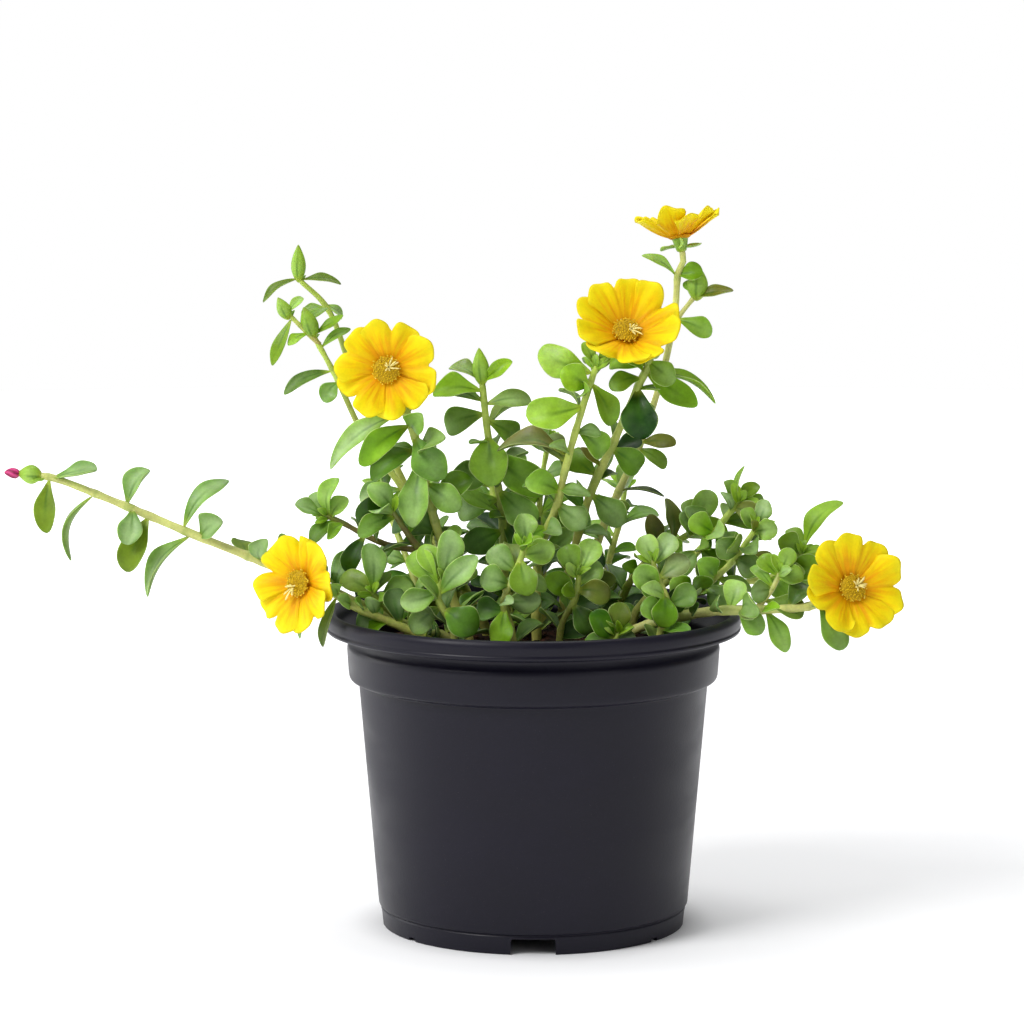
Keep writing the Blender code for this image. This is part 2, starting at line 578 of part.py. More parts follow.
def add_calyx(bm, matrix):
    """The green cup below a bloom, its flat top just clear of the petals."""

    def place(angle, t):
        radius = CALYX_RADIUS * (0.42 + 0.58 * t ** 0.7)
        if t < 0.001 or t > 0.999:
            radius = 0.0
        height = -TOUCH_GAP - CALYX_LENGTH * (1 - min(1.0, t / 0.8))
        return matrix @ Vector((radius * math.cos(angle), radius * math.sin(angle), height))

    bent_sphere(bm, 8, 5, place)


def bract_leaves(bloom):
    """Small leaves spread behind the petals."""
    matrix = facing_matrix(bloom)
    leaves = []
    for i in range(BRACTS):
        angle = i * 2 * math.pi / BRACTS + 0.6
        root = matrix @ Vector((0, 0, -0.6 * CALYX_LENGTH))
        reach = 8.0 + 1.5 * math.sin(3.1 * i)
        tip = matrix @ Vector((reach * math.cos(angle), reach * math.sin(angle), -2.4))
        leaves.append(Leaf(root, tip, 3.6, 90 if abs(bloom.facing[2]) > 0.6 else 0, 0.0))
    return leaves


# Laying out the plant

def stem_lines(stem):
    """The paths of a stem and of its side branches, each with its thickness at both ends."""
    foot_x, foot_y = stem.foot
    points = [(foot_x, foot_y, SOIL_TOP - HOLE_DEPTH + 2), (foot_x, foot_y, SOIL_TOP + 3)]
    points += stem.route
    for bloom in BLOOMS:
        if bloom.stem == stem.name:
            points.append(facing_matrix(bloom) @ Vector((0, 0, -CALYX_LENGTH - 3)))
            points.append(facing_matrix(bloom) @ Vector((0, 0, -0.5 * CALYX_LENGTH)))
    lines = [(smooth_path(points, STEM_STEP), stem.thick)]
    for branch in stem.branches:
        lines.append((smooth_path(branch.route, STEM_STEP * 0.7), branch.thick))
    return lines


def nearest_on(lines, x, z):
    """The place on a stem's lines nearest to a point of the front view."""
    best = None
    for path, _ in lines:
        for a, b in zip(path, path[1:]):
            run = b - a
            flat = run.x ** 2 + run.z ** 2
            t = ((x - a.x) * run.x + (z - a.z) * run.z) / flat if flat > 0 else 0.0
            spot = a.lerp(b, max(0.0, min(1.0, t)))
            far = (spot.x - x) ** 2 + (spot.z - z) ** 2
            if spot.z > SOIL_TOP + 2 and (best is None or far < best[0]):
                best = (far, spot)
    return best[1]


def tree_of(build):
    """A search tree of what build adds to an empty mesh, with its box."""
    bm = bmesh.new()
    build(bm)
    bmesh.ops.triangulate(bm, faces=bm.faces)
    tree = BVHTree.FromBMesh(bm)
    low = Vector([min(v.co[i] for v in bm.verts) for i in range(3)])
    high = Vector([max(v.co[i] for v in bm.verts) for i in range(3)])
    bm.free()
    return tree, low, high


def apart(one, other):
    if any(one[2][i] < other[1][i] or other[2][i] < one[1][i] for i in range(3)):
        return True
    return not one[0].overlap(other[0])


class Layout:
    """Keeps every placed thing and finds room for each new leaf."""

    def __init__(self):
        self.fixed = []
        self.blades = []
        self.leaves = {stem.name: [] for stem in STEMS}

    def add_fixed(self, node, build):
        self.fixed.append((node, tree_of(build)))

    def has_room(self, node, leaf):
        whole = tree_of(lambda bm: leaf.add(bm, grow=LEAF_CLEARANCE))
        for owner, thing in self.fixed:
            if owner != node and not apart(whole, thing):
                return False
        outer = tree_of(lambda bm: leaf.add(bm, grow=0.3, start=0.3))
        for owner, full, cut in self.blades:
            if owner != node and not apart(whole, full):
                return False
            if owner == node and not apart(outer, cut):
                return False
        return True

    def put(self, node, leaf):
        full = tree_of(lambda bm: leaf.add(bm))
        cut = tree_of(lambda bm: leaf.add(bm, start=0.3))
        self.blades.append((node, full, cut))
        self.leaves[node].append(leaf)


def lay_given_leaves(layout, stem, lines):
    """Puts each listed leaf, leaning it to the front or back where its place is taken."""
    for x0, z0, x1, z1, behind, width, turn in stem.leaves:
        root = nearest_on(lines, x0, z0)
        for lean in GIVEN_LEANS:
            tip = Vector((x1, root.y + behind + lean, z1))
            leaf = Leaf(root, tip, width, turn)
            if layout.has_room(stem.name, leaf):
                layout.put(stem.name, leaf)
                break


def lay_filling_leaves(layout, stem, lines):
    """Adds leaves at even steps round the stem, each turned on until it finds room."""
    fill = stem.fill
    draw = random.Random(fill.seed)
    path = lines[0][0]
    for i in range(fill.count):
        fraction = fill.start + (fill.end - fill.start) * (i + 0.5) / fill.count
        root, along = path_point(path, fraction)
        root.z = max(root.z, LOWEST_LEAF)
        round_angle = i * GOLDEN_ANGLE + draw.uniform(0, 0.6)
        length = fill.length * draw.uniform(0.8, 1.2)
        width = fill.width * draw.uniform(0.85, 1.1)
        rise = draw.uniform(0.15, 0.7)
        for attempt in range(FILL_TRIES):
            angle = round_angle + attempt * FILL_TURN
            shrink = 1 - FILL_SHRINK * attempt
            out = Vector((math.cos(angle), math.sin(angle), 0))
            out = (out - along * out.dot(along)).normalized()
            way = (out + along * rise + Vector((0, 0, 0.15))).normalized()
            leaf = Leaf(root, root + way * length * shrink, width * shrink, FILL_LEAF_TURN)
            if leaf.tip.z > LOWEST_LEAF and layout.has_room(stem.name, leaf):
                layout.put(stem.name, leaf)
                break


def lay_out_plant():
    layout = Layout()
    lines = {stem.name: stem_lines(stem) for stem in STEMS}
    layout.add_fixed("pot", add_pot_shape)
    layout.add_fixed("soil", add_soil_shape)
    for stem in STEMS:
        for path, thick in lines[stem.name]:
            fat = (thick[0] + LEAF_CLEARANCE, thick[1] + LEAF_CLEARANCE)
            layout.add_fixed(stem.name, lambda bm, p=path, f=fat: add_tube(bm, p, f, STEM_SIDES))
        for bud in stem.buds:
            layout.add_fixed(stem.name, lambda bm, b=bud: add_bud(bm, *b))
    for bloom in BLOOMS:
        layout.add_fixed(bloom.name, lambda bm, b=bloom: add_bloom_shape(bm, b))
    for stem in STEMS:
        for bloom in BLOOMS:
            if bloom.stem == stem.name:
                for leaf in bract_leaves(bloom):
                    layout.put(stem.name, leaf)
        lay_given_leaves(layout, stem, lines[stem.name])
    for stem in STEMS:
        lay_filling_leaves(layout, stem, lines[stem.name])
    return layout, lines


# Pot and soil

def pot_profile():
    """Radius and height round the wall's section, from the centre of the foot outward."""
    outer = [
        (0, 0), (CENTRE_PAD_RADIUS, 0), (CENTRE_PAD_RADIUS + 0.5, FLOOR_BOTTOM),
        (FOOT_RADIUS - 2.2, FLOOR_BOTTOM), (FOOT_RADIUS - 1.7, 0), (FOOT_RADIUS - 0.4, 0),
        (FOOT_RADIUS, 0.6), (FOOT_RADIUS + 0.3, FOOT_HEIGHT - 0.4), (BODY_FOOT_RADIUS, FOOT_HEIGHT + 0.2),
        (BODY_TOP_RADIUS, COLLAR_BOTTOM - 1.2), (BODY_TOP_RADIUS + 2.4, COLLAR_BOTTOM - 0.2),
        (COLLAR_RADIUS - 0.8, COLLAR_BOTTOM + 1.8), (COLLAR_RADIUS - 0.1, COLLAR_TOP - 1.6),
        (COLLAR_RADIUS + 0.5, COLLAR_TOP + 0.6), (RIM_RADIUS - 2.6, RIM_BOTTOM - 0.4),
        (RIM_RADIUS - 0.4, RIM_BOTTOM), (RIM_RADIUS, RIM_BOTTOM + 1.0), (RIM_RADIUS, RIM_TOP - 1.8),
        (RIM_RADIUS - 0.7, RIM_TOP - 0.5), (RIM_RADIUS - 2.0, RIM_TOP), (RIM_RADIUS - 3.2, RIM_TOP - 0.5),
    ]
    inner = [
        (RIM_RADIUS - 3.8, RIM_TOP - 2.0), (RIM_RADIUS - 4.2, RIM_BOTTOM + 1.4),
        (COLLAR_RADIUS - WALL, COLLAR_TOP + 1.2), (COLLAR_RADIUS - WALL - 0.8, COLLAR_BOTTOM + 2.6),
        (BODY_TOP_RADIUS - WALL, COLLAR_BOTTOM + 1.0), (BODY_FOOT_RADIUS - WALL, FLOOR_TOP + 1.5),
        (BODY_FOOT_RADIUS - WALL - 1.5, FLOOR_TOP), (0, FLOOR_TOP),
    ]
    return outer + inner


def add_turned(bm, profile, segments):
    """Turns a profile that starts and ends on the axis into a closed solid."""
    verts = [bm.verts.new((radius, 0, height)) for radius, height in profile]
    edges = [bm.edges.new(pair) for pair in zip(verts, verts[1:])]
    bmesh.ops.spin(bm, geom=verts + edges, cent=(0, 0, 0), axis=(0, 0, 1), angle=2 * math.pi,
                   steps=segments, use_merge=True)
    bmesh.ops.remove_doubles(bm, verts=bm.verts, dist=1e-4)


def add_pot_shape(bm):
    add_turned(bm, pot_profile(), POT_SEGMENTS)


def soil_profile():
    side = [
        (0, FLOOR_TOP + TOUCH_GAP), (BODY_FOOT_RADIUS - WALL - 2.2, FLOOR_TOP + TOUCH_GAP),
        (BODY_FOOT_RADIUS - WALL - 0.7, FLOOR_TOP + 2.0),
        (BODY_TOP_RADIUS - WALL - 0.6, COLLAR_BOTTOM + 1.4),
        (COLLAR_RADIUS - WALL - 1.5, COLLAR_BOTTOM + 3.4), (COLLAR_RADIUS - WALL - 1.1, SOIL_TOP - 3),
    ]
    edge = side[-1][0]
    top = [(edge * (1 - i / SOIL_RINGS), SOIL_TOP - 1.5) for i in range(1, SOIL_RINGS + 1)]
    return side + top


def add_soil_shape(bm):
    """Peat to just below the rim, heaped a little and lumpy on top."""
    add_turned(bm, soil_profile(), SOIL_SEGMENTS)
    edge = COLLAR_RADIUS - WALL - 1.1
    for vert in bm.verts:
        if vert.co.z > SOIL_TOP - 2:
            radius = math.hypot(vert.co.x, vert.co.y)
            fade = 1 - (radius / edge) ** 2
            lump = noise.noise(Vector((vert.co.x, vert.co.y, 0)) * 0.11)
            vert.co.z += fade * (SOIL_MOUND + 2 * SOIL_LUMPS * lump)


def build_pot():
    bm = bmesh.new()
    add_pot_shape(bm)
    pot = new_object("pot", bm)
    cutters = tool_collection("pot_cutters")
    gaps = [(360 * i / NOTCH_COUNT, NOTCH_WIDTH, NOTCH_HEIGHT) for i in range(NOTCH_COUNT)]
    for angle in (SLOT_ANGLE, 180 - SLOT_ANGLE, 180 + SLOT_ANGLE, 360 - SLOT_ANGLE):
        gaps.append((angle, SLOT_WIDTH, SLOT_HEIGHT))
    for angle, width, height in gaps:
        bm = bmesh.new()
        bmesh.ops.create_cube(bm, size=1.0)
        bmesh.ops.scale(bm, vec=(width, 10.0, 2 * height), verts=bm.verts)
        turn = Matrix.Rotation(math.radians(angle), 4, "Z")
        bmesh.ops.transform(bm, matrix=turn @ Matrix.Translation((0, -FOOT_RADIUS, 0)), verts=bm.verts)
        new_object("foot_gap_cutter", bm, cutters)
    for i in range(DRAIN_COUNT):
        bm = bmesh.new()
        angle = 2 * math.pi * (i + 0.5) / DRAIN_COUNT
        place = Matrix.Translation((DRAIN_RING * math.cos(angle), DRAIN_RING * math.sin(angle), FLOOR_TOP))
        bmesh.ops.create_cone(bm, cap_ends=True, segments=10, radius1=DRAIN_RADIUS, radius2=DRAIN_RADIUS,
                              depth=2 * FLOOR_TOP, matrix=place)
        new_object("drain_cutter", bm, cutters)
    apply_boolean(pot, "DIFFERENCE", cutters)
    keep_one_body(pot)
    pot.data.shade_smooth()
    pot.data.set_sharp_from_angle(angle=math.radians(35))
    pot.data.materials.clear()
    pot.data.materials.append(material("pot_plastic", POT_BLACK))


def build_soil():
    bm = bmesh.new()
    add_soil_shape(bm)
    soil = new_object("soil", bm)
    cutters = tool_collection("stem_holes")
    for stem in STEMS:
        bm = bmesh.new()
        radius = 0.5 * stem.thick[0] + HOLE_CLEARANCE
        place = Matrix.Translation((stem.foot[0], stem.foot[1], SOIL_TOP + 0.5 * HOLE_DEPTH))
        bmesh.ops.create_cone(bm, cap_ends=True, segments=HOLE_SIDES, radius1=radius, radius2=radius,
                              depth=3 * HOLE_DEPTH, matrix=place)
        new_object("hole_cutter", bm, cutters)
    apply_boolean(soil, "DIFFERENCE", cutters)
    keep_one_body(soil)
    soil.data.materials.clear()
    soil.data.materials.append(material("soil", SOIL_BROWN))


# Plant nodes

def fuse(name, builders, look_name, look, solver="EXACT"):
    """One solid from everything that the builders add, each one a closed body."""
    parts = tool_collection(name + "_parts")
    first = None
    for build in builders:
        bm = bmesh.new()
        build(bm)
        if first is None:
            first = new_object(name, bm)
        else:
            new_object(name + "_piece", bm, parts)
    if parts.objects:
        apply_boolean(first, "UNION", parts, solver)
    keep_one_body(first)
    first.data.materials.clear()
    first.data.materials.append(material(look_name, look))
    return first


def add_bloom_shape(bm, bloom):
    """All petals and the heart of a bloom in place, not yet fused."""
    add_heart(bm)
    for i in range(PETALS):
        add_petal(bm, bloom, i)
    bmesh.ops.transform(bm, matrix=facing_matrix(bloom), verts=bm.verts)


def build_bloom(bloom):
    matrix = facing_matrix(bloom)

    def placed(add):
        def build(bm):
            add(bm)
            bmesh.ops.transform(bm, matrix=matrix, verts=bm.verts)
        return build

    petals = [placed(add_heart)]
    for i in range(PETALS):
        petals.append(placed(lambda bm, i=i: add_petal(bm, bloom, i)))
    fuse(bloom.name, petals, "petals", PETAL_YELLOW)
    stamens = [placed(add_eye_core)]
    for i in range(STAMENS):
        stamens.append(placed(lambda bm, i=i: add_stamen(bm, i)))
    fuse(bloom.name + "_eye", stamens, "stamens", EYE_GOLD)


def build_stem(stem, lines, leaves):
    builders = []
    for path, thick in lines:
        builders.append(lambda bm, p=path, t=thick: add_tube(bm, p, t, STEM_SIDES))
    for bud in stem.buds:
        builders.append(lambda bm, b=bud: add_bud(bm, *b))
    for bloom in BLOOMS:
        if bloom.stem == stem.name:
            builders.append(lambda bm, b=bloom: add_calyx(bm, facing_matrix(b)))
    for leaf in leaves:
        builders.append(lambda bm, f=leaf: f.add(bm))
    solver = "MANIFOLD" if stem.name in HARD_TO_JOIN else "EXACT"
    fuse(stem.name, builders, "leaves", LEAF_GREEN, solver)


def build_bud_tip():
    """The magenta petals just showing at the end of the furthest bud."""
    bud = next(stem for stem in STEMS if stem.name == BUD_TIP_STEM).buds[0]
    root = Vector(bud[0])
    end = Vector(bud[1])
    along = (end - root).normalized()
    start = end + along * TOUCH_GAP
    bm = bmesh.new()
    add_bud(bm, start, start + along * BUD_TIP_LENGTH, BUD_TIP_WIDTH, sunk=0)
    tip = new_object(BUD_TIP_NAME, bm)
    tip.data.materials.append(material("bud_tip", BUD_MAGENTA))


def main():
    clear_scene()
    layout, lines = lay_out_plant()
    build_pot()
    build_soil()
    for stem in STEMS:
        build_stem(stem, lines[stem.name], layout.leaves[stem.name])
    for bloom in BLOOMS:
        build_bloom(bloom)
    build_bud_tip()


main()
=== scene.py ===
"""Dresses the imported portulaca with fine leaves, stems, blooms, pot, soil and materials.

Lengths are in millimetres and become metres where a mesh is made.
"""
import json
import math
import random
from collections import namedtuple

import bmesh
import bpy
from mathutils import Matrix, Vector, noise
from mathutils.bvhtree import BVHTree

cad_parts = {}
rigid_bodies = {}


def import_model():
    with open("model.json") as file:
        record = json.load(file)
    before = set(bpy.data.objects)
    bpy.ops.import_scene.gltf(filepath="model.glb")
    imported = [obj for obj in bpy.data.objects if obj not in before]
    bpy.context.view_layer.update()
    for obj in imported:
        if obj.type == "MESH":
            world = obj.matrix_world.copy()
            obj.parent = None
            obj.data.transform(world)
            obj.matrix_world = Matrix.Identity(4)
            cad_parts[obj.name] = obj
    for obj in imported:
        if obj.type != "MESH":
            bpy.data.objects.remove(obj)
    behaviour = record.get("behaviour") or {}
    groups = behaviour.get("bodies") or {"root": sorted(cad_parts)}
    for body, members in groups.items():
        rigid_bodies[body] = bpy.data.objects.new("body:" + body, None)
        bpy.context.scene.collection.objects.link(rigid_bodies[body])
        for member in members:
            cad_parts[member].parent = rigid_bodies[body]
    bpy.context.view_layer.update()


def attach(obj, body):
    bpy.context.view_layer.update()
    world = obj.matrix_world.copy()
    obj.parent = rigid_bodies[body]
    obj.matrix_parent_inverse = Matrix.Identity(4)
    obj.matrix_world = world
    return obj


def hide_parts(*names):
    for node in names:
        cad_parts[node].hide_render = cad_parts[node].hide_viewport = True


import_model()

MM = 0.001
TOUCH_GAP = 0.3

# Pot
RIM_RADIUS = 65.0
RIM_TOP = 99.2
RIM_BOTTOM = 93.0
COLLAR_RADIUS = 58.6
COLLAR_TOP = 90.0
COLLAR_BOTTOM = 78.2
BODY_TOP_RADIUS = 54.6
BODY_FOOT_RADIUS = 48.6
FOOT_RADIUS = 47.7
FOOT_HEIGHT = 6.0
WALL = 1.5
FLOOR_BOTTOM = 5.2
FLOOR_TOP = 7.0
CENTRE_PAD_RADIUS = 9.0
POT_SEGMENTS = 24
NOTCH_COUNT = 4
NOTCH_WIDTH = 13.6
NOTCH_HEIGHT = 5.0
SLOT_ANGLE = 52.0
SLOT_WIDTH = 3.0
SLOT_HEIGHT = 1.2
DRAIN_COUNT = 4
DRAIN_RADIUS = 4.0
DRAIN_RING = 27.0

# Soil
SOIL_TOP = 88.0
SOIL_MOUND = 2.5
SOIL_LUMPS = 1.6
SOIL_RINGS = 5
SOIL_SEGMENTS = 20
SOIL_EDGE = COLLAR_RADIUS - WALL - 1.1
SOIL_AT_WALL = SOIL_TOP - 1.5
HOLE_DEPTH = 11.0

# Leaves and stems
LEAF_SIDES = 3
LEAF_RINGS = 4
LEAF_THICKNESS = 1.7
LEAF_CLEARANCE = 0.9
STEM_SIDES = 5
STEM_STEP = 14.0
SUNK = 0.3
BUD_SUNK = 1.5
GOLDEN_ANGLE = math.radians(137.5)
STEM_ACROSS = Vector((0.31, 0.95, 0.05))
BUD_ACROSS = Vector((0.2, 1, 0.1))

# Blooms
PETALS = 5
PETAL_THICKNESS = 0.7
PETAL_ACROSS = 4
PETAL_ALONG = 3
HEART_RADIUS = 3.7
HEART_THICKNESS = 1.1
EYE_RADIUS = 4.4
EYE_HEIGHT = 2.8
CALYX_RADIUS = 2.9
CALYX_LENGTH = 4.5
BRACTS = 3

# Finding room: turns tried for a filling leaf, how far each turns on and shrinks, and the
# leans to the front and back tried for a listed leaf
FILL_TRIES = 7
FILL_TURN = 0.9
FILL_SHRINK = 0.05
FILL_LEAF_TURN = 60
GIVEN_LEANS = (0, -3, 3, -6, 6, -9, 9, 12)
LOWEST_LEAF = SOIL_TOP + 4

# A leaf: where it leaves its stem in the front view (x, z), where its tip is (x, z), how far
# the tip lies behind its root, its width, and its turn from facing the viewer in degrees.
# A stem: its foot in the soil (x, y), the points it passes, its thickness at foot and tip,
# its side branches, its leaves, its buds (root, tip, width) and how many leaves the filling
# rule adds between two fractions of its length.
Stem = namedtuple("Stem", "name foot route thick branches leaves buds fill")
Bloom = namedtuple("Bloom", "name stem base facing radius cup spin")
Branch = namedtuple("Branch", "route thick")
Fill = namedtuple("Fill", "start end count length width seed")

